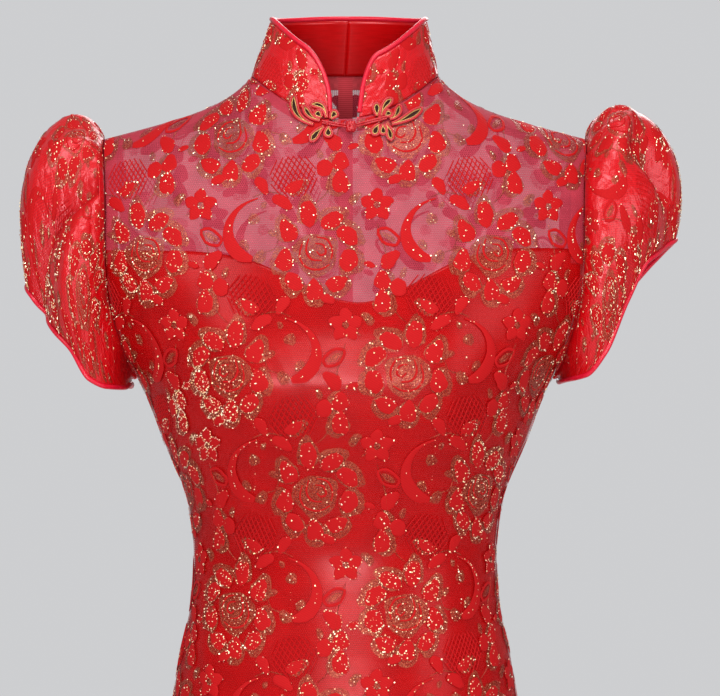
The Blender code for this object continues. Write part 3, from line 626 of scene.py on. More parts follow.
def flat_places(points):
    """Flat cloth places of a grid: distance along each row, from its middle, and height."""
    steps = np.linalg.norm(np.diff(points, axis=1), axis=-1)
    along = np.concatenate([np.zeros((len(points), 1)), np.cumsum(steps, axis=1)], axis=1)
    along -= along[:, along.shape[1] // 2][:, None]
    return np.stack([along, points[..., 2]], axis=-1)


print("sheet maker ready")

# %% [markdown]
# ## Front and back
# The lace front is cut in one from neck to hem, and the back in two halves that meet at the zip. The
# satin lining lies just inside, from the sweetheart line down. Both are made from the same rows, so they
# never cross.

# %% Body panels
ROW_STEPS = 7
PANELS = (
    # name, side, first u, last u, columns
    ("front", "front", -1.0, 1.0, 130),
    ("back_left", "back", -1.0, 0.0, 56),
    ("back_right", "back", 0.0, 1.0, 56),
)
NET_INSET = 0.2 * MM
LINING_INSET = 1.2 * MM
LINING_WALL = 0.5 * MM
pieces = {}
for name, side, first, last, columns in PANELS:
    rows = np.linspace(0, YOKE_ROWS + LOWER_ROWS, ROW_STEPS * (YOKE_ROWS + LOWER_ROWS) + 1)
    row_grid, u_grid = np.meshgrid(rows, np.linspace(first, last, columns + 1), indexing="ij")
    x, z = panel_xz(row_grid, u_grid, side)
    outer = on_body(x, z, side)
    slit = SLIT_OPENING * np.clip((SLIT_Z - z) / (SLIT_Z - HEM_Z), 0, 1)
    edge_shift = slit * (np.abs(u_grid) == 1) * (-1 if side == "front" else 1)
    outer[..., 1] += edge_shift
    outward = np.zeros_like(outer)
    outward[..., 0] = outer[..., 0]
    outward[..., 1] = outer[..., 1]
    outward[..., 2] = np.where(rows[:, None] < 2, 0.05, 0.0)
    normals = grid_normals(outer, outward)
    flat = flat_places(outer)
    net = sheet_piece("net_" + name, outer - normals * NET_INSET, flat, outward, [SHEER, NET])
    lined = np.repeat(np.arange(len(rows) - 1) >= YOKE_ROWS * ROW_STEPS, columns)
    net.data.polygons.foreach_set("material_index", lined.astype(np.int32))
    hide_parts("lace_" + name)
    start = YOKE_ROWS * ROW_STEPS
    lining = sheet_piece(
        "satin_" + name, (outer - normals * LINING_INSET)[start:], flat[start:], outward[start:], [SATIN],
        wall=LINING_WALL,
    )
    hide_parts("lining_" + name)
    pieces[name] = (net, lining)
    print(net.name, len(net.data.polygons), lining.name, len(lining.data.polygons))

# %% [markdown]
# ## The lace chart
# One repeat of the lace is charted in millimetres of flat cloth: a rose with nine petals round a
# disc of metallic thread, and beside it a small flower, a crescent scroll, loose leaves and a patch of
# coarse mesh. The rows of the lace lie half a repeat apart, and every second one is mirrored. Each shape
# is a low mound of thread, so it catches the light as stitching does.

# %% Chart of one repeat
# a petal or leaf: its middle, half length, half width, turn in degrees, and how far its metallic patch spreads
Leaf = namedtuple("Leaf", "x z length width turn shadow")

ROSE_PETALS = (
    Leaf(-6.5, 31.5, 10.5, 6.6, 96, 2.6),
    Leaf(12.0, 26.0, 9.5, 6.2, 28, 3.6),
    Leaf(24.0, 14.0, 9.5, 6.4, -42, 3.8),
    Leaf(24.5, -4.5, 9.0, 7.2, 76, 3.8),
    Leaf(15.5, -22.5, 8.5, 6.0, 22, 3.4),
    Leaf(-1.5, -27.5, 8.5, 6.4, 94, 3.2),
    Leaf(-17.5, -21.0, 8.5, 6.0, 132, 3.2),
    Leaf(-24.5, -4.5, 9.0, 6.6, 84, 3.0),
    Leaf(-22.0, 18.0, 9.5, 6.4, 118, 3.0),
)
LEAVES = (
    Leaf(56, -4, 9.0, 5.5, 45, 0.0),
    Leaf(50, -20, 7.5, 6.4, 100, 1.6),
    Leaf(62, -25, 7.0, 6.4, 110, 0.0),
    Leaf(50, -36, 9.5, 6.4, 86, 3.4),
    Leaf(94, 53, 8.0, 4.3, -58, 0.0),
    Leaf(110, 40, 9.0, 4.6, -32, 0.0),
    Leaf(119, 52, 8.0, 4.4, 32, 1.6),
    Leaf(60, 58, 6.0, 3.6, 20, 0.0),
    Leaf(40, -8, 4.5, 2.4, 160, 0.0),
)
FLOWER = (46, 38)
FLOWER_PETALS = 5
FLOWER_REACH = 7.6
EYELET_LEAF = Leaf(55, 13, 9.0, 5.4, -34, 0.0)
EYELET_RIM = 3.0
EYELET_CORD = 1.2
METAL_SPOTS = (
    Leaf(88, 27, 4.8, 4.6, 0, 0.0),
    Leaf(95.5, 38, 3.2, 2.2, 60, 0.0),
    Leaf(103, 16, 4.2, 2.8, -20, 0.0),
    Leaf(93, -2, 6.0, 4.6, 50, 0.0),
    Leaf(81, 7, 5.0, 3.2, -50, 0.0),
    Leaf(30, 44, 5.0, 3.4, 40, 0.0),
    Leaf(66, -14, 4.4, 2.6, 70, 0.0),
    Leaf(40, -50, 5.0, 3.4, 120, 0.0),
)
SCROLL = ((91, 43), (82, 39.5), (74, 33), (69, 24), (68, 15), (71, 6), (78, -1), (87, -4))
SCROLL_WIDTHS = (0.5, 1.0, 1.9, 3.2, 4.3, 5.3, 5.0, 2.2)
TENDRILS = (
    ((107, 12), (104, 4), (96, 1), (90, -5)),
    ((46, 24), (52, 4), (54, -12)),
    ((87, 44), (98, 48), (110, 46)),
    ((58, -30), (60, -44), (68, -52)),
    ((34, 30), (40, 34)),
)
ROSE_LINES = (
    ((-11, 8), (-13, -2), (-8, -10), (2, -12), (10, -8)),
    ((-6, 12), (-8, 3), (-4, -4), (4, -5)),
    ((0, 13), (8, 11), (12, 3), (11, -4)),
    ((-1, 8), (5, 7), (7, 1), (3, -1), (0, 2)),
)
ROSE_RADIUS = 17.5
MESH_PATCH = Leaf(86, -32, 23, 11, 82, 0.0)
MESH_PITCH = 3.4
MESH_SLANT = 32
MESH_MARGIN = 8
MESH_LEAST = 3
MESH_WIDTHS = (0.4, 0.5, 0.4)
MESH_PROFILE = ((-1.0, 0.1), (0.0, 0.45), (1.0, 0.1))
TENDRIL_WIDTHS = (0.35, 0.55, 0.35)
TENDRIL_PROFILE = ((-1.0, 0.1), (0.0, 0.5), (1.0, 0.1))
THREAD_KIND = 0
METAL_KIND = 1
# a petal's patch of metallic thread peeps out from under it, away from the rose's middle
SHADOW_PUSH = 2.4
SHADOW_GROWTH = 0.75

chart_points = []
chart_faces = []
chart_kinds = []
chart_outlines = []
chart_metal_areas = []


def mix(a, b, t):
    """What lies between a and b at the share t."""
    return a + (b - a) * t


def leaf_outline(leaf, grow=0.0, sides=14):
    """A petal's outline, a little narrower at its far end and uneven along its edge."""
    turn = math.radians(leaf.turn)
    phase = leaf.x * 0.7 + leaf.z * 1.3
    outline = []
    for k in range(sides):
        a = 2 * math.pi * k / sides
        uneven = 1 + 0.07 * math.sin(3 * a + phase) + 0.05 * math.sin(5 * a + 2 * phase)
        along = (leaf.length + grow) * math.cos(a) * uneven
        across = (leaf.width + grow) * math.sin(a) * (1 - 0.2 * math.cos(a)) * uneven
        outline.append((
            leaf.x + along * math.cos(turn) - across * math.sin(turn),
            leaf.z + along * math.sin(turn) + across * math.cos(turn),
        ))
    return outline


def chart_mound(outline, rings, kind):
    """Rings of an outline drawn in towards its middle, each at its own height, closed by a centre point."""
    middle = (sum(p[0] for p in outline) / len(outline), sum(p[1] for p in outline) / len(outline))
    count = len(outline)
    first = len(chart_points)
    for share, height in rings:
        for p in outline:
            chart_points.append((mix(middle[0], p[0], share), mix(middle[1], p[1], share), height))
    chart_points.append((*middle, rings[-1][1]))
    last = len(chart_points) - 1
    for r in range(len(rings) - 1):
        for k in range(count):
            n = (k + 1) % count
            a = first + r * count
            b = a + count
            chart_faces.extend(((a + k, a + n, b + n), (a + k, b + n, b + k)))
            chart_kinds.extend((kind, kind))
    a = first + (len(rings) - 1) * count
    for k in range(count):
        chart_faces.append((a + k, a + (k + 1) % count, last))
        chart_kinds.append(kind)


def smooth_path(points, steps):
    """A Catmull-Rom curve through points."""
    path = []
    ends = [points[0], *points, points[-1]]
    for i in range(len(points) - 1):
        p0, p1, p2, p3 = (np.array(q, dtype=float) for q in ends[i : i + 4])
        for k in range(steps):
            t = k / steps
            path.append(
                0.5 * (2 * p1 + (p2 - p0) * t + (2 * p0 - 5 * p1 + 4 * p2 - p3) * t**2
                       + (3 * p1 - 3 * p2 + p3 - p0) * t**3)
            )
    path.append(np.array(points[-1], dtype=float))
    return path


# a strip's cross-section: shares of its half width and heights in millimetres
STRIP_PROFILE = ((-1.0, 0.15), (-0.7, 0.4), (0.7, 0.4), (1.0, 0.15))


def chart_strip(points, widths, kind, steps=3, profile=STRIP_PROFILE):
    """A raised strip along a curve, with its half width at each point; returns the curve."""
    path = smooth_path(points, steps)
    halves = np.interp(np.linspace(0, len(widths) - 1, len(path)), range(len(widths)), widths)
    first = len(chart_points)
    for k, (p, half) in enumerate(zip(path, halves, strict=True)):
        along = path[min(k + 1, len(path) - 1)] - path[max(k - 1, 0)]
        along /= np.hypot(*along)
        for share, height in profile:
            chart_points.append((p[0] - along[1] * half * share, p[1] + along[0] * half * share, height))
    n = len(profile)
    for k in range(len(path) - 1):
        for s in range(n - 1):
            a = first + k * n + s
            chart_faces.extend(((a, a + n, a + n + 1), (a, a + n + 1, a + 1)))
            chart_kinds.extend((kind, kind))
    return path


# a mound's rings: shares of its outline and heights in millimetres
THREAD_RINGS = ((1.0, 0.15), (0.9, 0.38), (0.6, 0.46))
METAL_RINGS = ((1.0, 0.1), (0.9, 0.22))
SPOT_RINGS = ((1.0, 0.15), (0.85, 0.5))

metal_disc = leaf_outline(Leaf(0, 0, ROSE_RADIUS, ROSE_RADIUS * 0.95, 20, 0), sides=20)
chart_mound(metal_disc, METAL_RINGS, METAL_KIND)
chart_metal_areas.append(metal_disc)
for line in ROSE_LINES:
    chart_strip(line, (0.5, 0.85, 0.85, 0.5), THREAD_KIND)
flower_petals = [
    Leaf(
        FLOWER[0] + FLOWER_REACH * math.cos(math.radians(18 + 72 * k)),
        FLOWER[1] + FLOWER_REACH * math.sin(math.radians(18 + 72 * k)), 5.6, 4.9, 18 + 72 * k, 0.0,
    )
    for k in range(FLOWER_PETALS)
]
for leaf in ROSE_PETALS + LEAVES + tuple(flower_petals):
    if leaf.shadow:
        push = math.hypot(leaf.x, leaf.z) if leaf in ROSE_PETALS else 0
        away = (leaf.x / push, leaf.z / push) if push else (1, 0)
        shadow = leaf._replace(x=leaf.x + away[0] * SHADOW_PUSH, z=leaf.z + away[1] * SHADOW_PUSH)
        outline = leaf_outline(shadow, leaf.shadow * SHADOW_GROWTH)
        chart_mound(outline, METAL_RINGS, METAL_KIND)
        chart_metal_areas.append(outline)
    outline = leaf_outline(leaf)
    chart_mound(outline, THREAD_RINGS, THREAD_KIND)
    chart_outlines.append(outline)
for spot in METAL_SPOTS + (Leaf(*FLOWER, 2.8, 2.8, 0, 0),):
    outline = leaf_outline(spot, sides=9)
    chart_mound(outline, SPOT_RINGS, METAL_KIND)
    chart_metal_areas.append(outline)
eyelet = leaf_outline(EYELET_LEAF)
chart_mound(leaf_outline(EYELET_LEAF, -EYELET_RIM), METAL_RINGS, METAL_KIND)
chart_strip(eyelet + eyelet[:1], (EYELET_CORD, EYELET_CORD), THREAD_KIND, steps=1)
scroll_path = chart_strip(SCROLL, SCROLL_WIDTHS, THREAD_KIND)
chart_outlines.append([tuple(p) for p in scroll_path])
for line in TENDRILS:
    chart_strip(line, TENDRIL_WIDTHS, METAL_KIND, profile=TENDRIL_PROFILE)
patch_turn = math.radians(MESH_PATCH.turn)
for slant in (MESH_SLANT, -MESH_SLANT):
    heading = patch_turn + math.radians(slant)
    for k in range(-7, 8):
        offset = k * MESH_PITCH
        normal = (-math.sin(heading), math.cos(heading))
        share = max(0.0, 1 - (offset / (MESH_PATCH.width + MESH_MARGIN)) ** 2) ** 0.5
        reach = share * (MESH_PATCH.width + MESH_MARGIN / 2)
        if reach < MESH_LEAST:
            continue
        middle = (MESH_PATCH.x + normal[0] * offset, MESH_PATCH.z + normal[1] * offset)
        run = (math.cos(heading) * reach, math.sin(heading) * reach)
        ends = [(middle[0] + run[0] * s, middle[1] + run[1] * s) for s in (-1, 0, 1)]
        chart_strip(ends, MESH_WIDTHS, THREAD_KIND, steps=2, profile=MESH_PROFILE)

CHART_POINTS = np.array(chart_points)
CHART_FACES = np.array(chart_faces)
CHART_KINDS = np.array(chart_kinds)
print("chart:", len(CHART_POINTS), "points,", len(CHART_FACES), "triangles")

# %% [markdown]
# ## Sparks of the chart
# Sparks sit along the outlines of the motifs and over the metallic areas. Their places in the chart are
# drawn once with a seeded generator, and each gets a rank, so that a place on the dress can show few or
# many of them.

# %% Places of the sparks
random_places = np.random.default_rng(1268)
OUTLINE_STEP = 1.5
OUTLINE_SCATTER = 0.45
AREA_SPARKS_PER_MM2 = 0.3
spark_places = []
for outline in chart_outlines:
    ring = np.array(outline + outline[:1])
    for a, b in zip(ring[:-1], ring[1:], strict=True):
        for t in np.arange(0, 1, OUTLINE_STEP / max(np.hypot(*(b - a)), OUTLINE_STEP)):
            spark_places.append(a + (b - a) * t + random_places.normal(0, OUTLINE_SCATTER, 2))
for outline in chart_metal_areas:
    ring = np.array(outline)
    middle = ring.mean(axis=0)
    reach = np.hypot(*(ring - middle).T)
    for _ in range(int(math.pi * reach.mean() ** 2 * AREA_SPARKS_PER_MM2)):
        k = random_places.integers(len(ring))
        edge = ring[k] + (ring[k - 1] - ring[k]) * random_places.random()
        spark_places.append(middle + (edge - middle) * math.sqrt(random_places.random()))
SPARK_PLACES = np.array(spark_places)
print(len(SPARK_PLACES), "spark places in a repeat")

# %% [markdown]
# ## Laying lace on cloth
# A cloth object tells where a place of flat cloth lies in space, and trims what would pass its edges. The
# whole chart is copied to every half repeat, laid on the cloth and lifted off it along the surface's
# normal.

# %% Laying the chart
REPEAT = np.array((0.136, 0.184))
CHART_ORIGIN = np.array((-0.021, -0.143))
REPEAT_REACH = 0.13
SPARK_BASE = 0.1
SPARK_SEAT = 0.7 * MM
SPARK_LIFT = 0.8 * MM
SPARK_TILT = 0.35 * MM
# half diagonal of the smallest spark, what the largest one has more, both in millimetres, and how rare that is
SPARK_LEAST = 0.24
SPARK_EXTRA = 0.5
SPARK_POWER = 2.0
# where the photograph's lace glitters more than elsewhere
# painted glint: more of the pale facets are kept in these places, though every repeat holds the same metallic
# thread
Glint = namedtuple("Glint", "x y z reach extra")
GLINTS = (
    Glint(-0.115, -0.09, -0.262, 0.040, 1.3),
    Glint(-0.150, -0.05, -0.165, 0.035, 0.9),
    Glint(0.112, -0.07, -0.300, 0.040, 0.35),
    Glint(0.104, -0.06, -0.400, 0.050, 0.3),
    Glint(-0.100, -0.06, -0.420, 0.045, 0.28),
    Glint(0.020, -0.10, -0.420, 0.050, 0.3),
    Glint(-0.225, -0.03, -0.150, 0.060, 0.55),
    Glint(0.215, -0.05, -0.180, 0.060, 0.45),
    Glint(0.250, 0.0, -0.090, 0.040, 0.8),
    Glint(-0.055, -0.05, 0.010, 0.040, 0.7),
)


class Cloth:
    """A surface for lace: trim keeps flat places inside the piece, and point gives where they lie."""

    def __init__(self, trim, point, outward):
        self.trim = trim
        self.point = point
        self.outward = outward

    def place(self, flat, lift):
        kept, inside = self.trim(flat)
        step = 0.6 * MM
        points = self.point(kept)
        along = self.point(kept + (step, 0)) - self.point(kept - (step, 0))
        up = self.point(kept + (0, step)) - self.point(kept - (0, step))
        normals = np.cross(along, up)
        normals /= np.maximum(np.linalg.norm(normals, axis=-1, keepdims=True), 1e-12)
        flip = np.sign(np.sum(normals * self.outward(kept, points), axis=-1, keepdims=True))
        normals *= np.where(flip == 0, 1, flip)
        return points + normals * lift[:, None], inside


def repeat_origins(low, high):
    """Origins of the half repeats that reach into a stretch of flat cloth, and whether each is mirrored."""
    origins = []
    for row in range(-8, 14):
        for column in range(-8, 9):
            mirrored = row % 2 == 1
            origin = CHART_ORIGIN + REPEAT * (column + 0.5 * mirrored, -0.5 * row)
            if all(low[k] - REPEAT_REACH < origin[k] < high[k] + REPEAT_REACH for k in (0, 1)):
                origins.append((origin, -1 if mirrored else 1))
    return origins


def spark_share(points):
    """How many of the sparks show at a place: more where the photograph's lace glitters most."""
    share = np.full(len(points), SPARK_BASE)
    for glint in GLINTS:
        away = np.linalg.norm(points - glint[:3], axis=1) / glint.reach
        share = share + glint.extra * np.exp(-away * away)
    return share


def mesh_piece(name, points, faces, flat, materials, kinds=None):
    """A piece from arrays of points and triangles, with the flat places as its UV map."""
    used = np.unique(faces)
    new_index = np.full(len(points), -1)
    new_index[used] = np.arange(len(used))
    faces = new_index[faces]
    mesh = bpy.data.meshes.new(name)
    mesh.from_pydata(points[used].tolist(), [], faces.tolist())
    layer = mesh.uv_layers.new(name="cloth")
    layer.data.foreach_set("uv", flat[used][faces.ravel()].astype(np.float32).ravel())
    piece = finish_mesh(name, mesh, materials, 70)
    if kinds is not None:
        mesh.polygons.foreach_set("material_index", kinds.astype(np.int32))
    return piece


def lay_lace(name, cloth, low, high):
    """Lays the chart and its sparks over a cloth; returns the two pieces."""
    point_sets = []
    face_sets = []
    kind_sets = []
    flat_sets = []
    sparks = []
    count = 0
    for origin, hand in repeat_origins(low, high):
        flat = origin + CHART_POINTS[:, :2] * (hand * MM, MM)
        points, inside = cloth.place(flat, CHART_POINTS[:, 2] * MM)
        faces = CHART_FACES if hand > 0 else CHART_FACES[:, ::-1]
        keep = inside[CHART_FACES].any(axis=1)
        corner = points[faces]
        area = np.linalg.norm(np.cross(corner[:, 1] - corner[:, 0], corner[:, 2] - corner[:, 0]), axis=1)
        keep &= area > 1e-8
        point_sets.append(points)
        flat_sets.append(flat)
        face_sets.append(faces[keep] + count)
        kind_sets.append(CHART_KINDS[keep])
        count += len(points)
        sparks.append(origin + SPARK_PLACES * (hand * MM, MM))
    points = np.concatenate(point_sets)
    faces = np.concatenate(face_sets)
    lace = mesh_piece(
        "motifs_" + name, points, faces, np.concatenate(flat_sets), [THREAD, FILM], np.concatenate(kind_sets)
    )
    centres = np.concatenate(sparks)
    ranks = random_places.random(len(centres))
    base, inside = cloth.place(centres, np.full(len(centres), SPARK_SEAT))
    centres = centres[inside & (ranks < spark_share(base))]
    spark_points = []
    turns = random_places.random(len(centres)) * math.pi
    sizes = (SPARK_LEAST + SPARK_EXTRA * random_places.random(len(centres)) ** SPARK_POWER) * MM
    tilts = random_places.uniform(-SPARK_TILT, SPARK_TILT, (len(centres), 2))
    for k in range(4):
        a = turns + k * math.pi / 2
        corner = centres + np.stack([np.cos(a), np.sin(a)], axis=1) * sizes[:, None]
        lift = SPARK_LIFT + (tilts[:, k % 2] if k < 2 else -tilts[:, k % 2])
        spark_points.append(cloth.place(corner, lift)[0])
    spark_points = np.stack(spark_points, axis=1).reshape(-1, 3)
    corner_ids = np.arange(len(centres) * 4).reshape(-1, 4)
    spark_faces = np.concatenate([corner_ids[:, (0, 1, 2)], corner_ids[:, (0, 2, 3)]])
    glitter = mesh_piece("glitter_" + name, spark_points, spark_faces, np.repeat(centres, 4, axis=0), [GLITTER_PAINTED_AS_HIGHLIGHT])
    print(lace.name, len(faces), "triangles,", glitter.name, len(centres), "sparks")
    return lace, glitter


print("lace layer ready")

# %% [markdown]
# ## Lace on the body
# On the body, flat places are distances round it from the centre line and heights. A table of arc lengths
# turns a distance into an angle, so a rose keeps its width where the body curves away.

# %% Body lace
LEVELS = np.linspace(-1.0, 0.02, 341)
ANGLES = np.linspace(-math.pi / 2, math.pi / 2, 181)
EDGE = 1.3 * MM


def body_cloth(side, hand):
    """The lace's cloth on one panel: hand is 0 for the whole front, -1 or 1 for a half of the back."""
    z_grid, angle_grid = np.meshgrid(LEVELS, ANGLES, indexing="ij")
    grid = on_body(body("width", z_grid) * np.sin(angle_grid), z_grid, side)
    steps = np.linalg.norm(np.diff(grid, axis=1), axis=-1)
    lengths = np.concatenate([np.zeros((len(LEVELS), 1)), np.cumsum(steps, axis=1)], axis=1)
    lengths -= lengths[:, len(ANGLES) // 2][:, None]
    angles = np.broadcast_to(ANGLES, lengths.shape)

    def read_levels(z, at, from_rows, to_rows):
        """Reads each level's curve from one measure to the other, and blends the two levels next to z."""
        level = np.clip((z - LEVELS[0]) / (LEVELS[1] - LEVELS[0]), 0, len(LEVELS) - 1.001)
        low = level.astype(int)
        value = np.zeros(len(z))
        for row in np.unique(low):
            mine = low == row
            a, b = (np.interp(at[mine], from_rows[k], to_rows[k]) for k in (row, row + 1))
            value[mine] = mix(a, b, (level - low)[mine])
        return value

    def angle_of(flat):
        return read_levels(flat[:, 1], flat[:, 0], lengths, angles)

    def trim(flat):
        angle = angle_of(flat)
        z = np.clip(flat[:, 1], HEM_Z + EDGE, 0.02)
        most = np.arcsin(np.minimum(1, body("share", z))) - EDGE / body("width", z)
        low = -most if hand <= 0 else np.full_like(most, 0.004)
        high = most if hand >= 0 else np.full_like(most, -0.004)
        kept_angle = np.clip(angle, low, high)
        x = body("width", z) * np.sin(kept_angle)
        top = top_edge(x, side) - EDGE
        inside = (angle > low) & (angle < high) & (flat[:, 1] < top) & (flat[:, 1] > HEM_Z + EDGE)
        z = np.minimum(z, top)
        return np.stack([read_levels(z, kept_angle, angles, lengths), z], axis=1), inside

    def point(flat):
        angle = angle_of(flat)
        z = np.clip(flat[:, 1], HEM_Z, 0.02)
        return on_body(body("width", z) * np.sin(angle), z, side)

    def outward(flat, points):
        facing = -0.06 if side == "front" else 0.06
        return np.stack([points[:, 0], np.full(len(points), facing), np.full(len(points), 0.004)], axis=1)

    return Cloth(trim, point, outward)


for name, side, first, last, columns in PANELS:
    hand = 0 if side == "front" else (-1 if last == 0 else 1)
    span = (-0.27 if first < 0 else 0.0, 0.27 if last > 0 else 0.0)
    lace, glitter = lay_lace(name, body_cloth(side, hand), (span[0], HEM_Z), (span[1], 0.01))
    pieces[name] = (*pieces[name], lace, glitter)

# %% [markdown]
# ## Satin with net over it
# On the sleeves and the collar the net is mounted on the satin and the two are handled as one cloth. The
# net is then a grain in the satin's colour, lighter where its threads lie.

# %% Mounted satin
# two cloths sewn as one: the satin's sheen, broken up by the crumpling of the net on it
MOUNTED, tree, shader = new_material(
    "net mounted on satin", Roughness=0.28, Specular_IOR_Level=0.65, Specular_Tint=colour("#FFC8D0"),
    Sheen_Weight=0.05, Sheen_Roughness=0.35, Sheen_Tint=colour("#F04060"),
)
uv = add_node(tree, "ShaderNodeUVMap", {"uv_map": "cloth"}).outputs["UV"]
holes = net_sum(tree, uv)
two_tones(tree, shader, holes, -0.5, 1.6, "#BE060E", "#980004")
crumple = add_node(
    tree, "ShaderNodeTexNoise", None, {"Scale": 110.0, "Detail": 4.0, "Distortion": 0.6}, {"Vector": uv}
).outputs["Fac"]
relief(tree, shader, crumple, 0.7, 0.0022)
print(MOUNTED.name)

# %% [markdown]
# ## Petal sleeves
# Each sleeve is gathered into the top of the armhole, stands up above the shoulder, and drops in a bell
# to a curved hem. Every point of the armhole starts a Bezier run to the hem. Soft pleats follow the runs:
# on the left one deep fold across the front, on the right an arched ridge with a dark pocket, and small
# gathers at both heads.

# %% Sleeve shapes
Sleeve = namedtuple("Sleeve", "sign hem_near hem_reach hem_power hem_depth head_x head_up out_x out_up")
Hem = namedtuple("Hem", "around left right right_back")
Pleat = namedtuple("Pleat", "sleeve around drift start end width depth")

SLEEVES = {
    "left": Sleeve(-1, 171, 84, 1.25, 60, 0.32, 38, 0.16, 142),
    "right": Sleeve(1, 171, 94, 1.2, 58, 0.12, 47, 0.20, 110),
}
HEM = (
    Hem(0, -163, -126, -126),
    Hem(20, -169, -129, -131),
    Hem(40, -184, -136, -142),
    Hem(60, -198, -145, -159),
    Hem(80, -213, -176, -180),
    Hem(100, -237, -216, -216),
    Hem(120, -243, -234, -234),
    Hem(150, -244, -238, -238),
    Hem(180, -241, -240, -240),
)
PLEATS = (
    Pleat("left", 56, -15, 0.10, 1.12, 17, -21.0),
    Pleat("left", 86, -6, 0.25, 0.98, 15, 8.0),
    Pleat("left", 20, -4, 0.05, 0.55, 8, -3.5),
    Pleat("left", 4, -2, 0.02, 0.45, 8, 2.5),
    Pleat("left", -16, 2, 0.02, 0.50, 9, -3.5),
    Pleat("left", -46, 10, 0.12, 1.00, 14, -8.0),
    Pleat("right", 38, -6, 0.42, 1.08, 15, -14.0),
    Pleat("right", 32, 0, 0.20, 0.46, 24, 5.0),
    Pleat("right", 62, -6, 0.10, 0.70, 12, -4.0),
    Pleat("right", 14, 0, 0.02, 0.45, 8, 2.5),
    Pleat("right", -8, 0, 0.02, 0.45, 8, -3.0),
    Pleat("right", -42, 8, 0.14, 1.00, 14, -8.0),
    Pleat("left", 58, -16, 0.12, 1.12, 7, -13.0),
    Pleat("left", 36, -12, 0.12, 0.92, 8, 4.5),
    Pleat("left", 74, -8, 0.45, 1.00, 4, -1.6),
    Pleat("left", 84, -6, 0.45, 1.00, 4, 1.4),
    Pleat("left", 94, -4, 0.50, 1.00, 4, -1.5),
    Pleat("left", 12, -3, 0.03, 0.35, 3.5, -1.6),
    Pleat("left", 28, -4, 0.03, 0.38, 3.5, -1.6),
    Pleat("left", 36, -5, 0.03, 0.30, 3.5, 1.4),
    Pleat("left", -6, 0, 0.03, 0.35, 3.5, -1.6),
    Pleat("left", -28, 4, 0.03, 0.35, 4, 1.4),
    Pleat("right", 22, -3, 0.03, 0.35, 3.5, -1.6),
    Pleat("right", 32, -4, 0.03, 0.38, 3.5, 1.5),
    Pleat("right", 36, -6, 0.40, 0.84, 9, -13.0),
    Pleat("right", 78, -6, 0.30, 0.95, 5, -1.8),
    Pleat("right", 90, -4, 0.35, 0.95, 5, 1.6),
    Pleat("right", 4, 0, 0.03, 0.32, 3.5, -1.6),
    Pleat("right", -18, 2, 0.03, 0.35, 4, 1.4),
    Pleat("right", -30, 4, 0.03, 0.35, 4, -1.5),
)
SLEEVE_ARM_DEPTH = 56 * MM
SLEEVE_SEAM = 0.6 * MM
SLEEVE_LEAST_LEAD = 4 * MM
SLEEVE_LEAD_POWER = 0.9
SLEEVE_DROP_POWER = 1.35
SLEEVE_BELL = 0.25
SLEEVE_PUFF = 0.35
SLEEVE_WALL = 0.9 * MM
RING_STEPS = 12
RUN_STEPS = 56


def armhole_ring(sign):
    """The armhole from the shoulder down the front, under the arm and up the back, closely stepped."""
    rows = np.linspace(0, YOKE_ROWS + UNDERARM_ROWS, RING_STEPS * (YOKE_ROWS + UNDERARM_ROWS) + 1)
    sides = []
    for side in ("front", "back"):
        x, z = panel_xz(rows, np.full_like(rows, float(sign)), side)
        sides.append(on_body(x, z, side))
    return np.concatenate([sides[0], sides[1][-2:0:-1]])


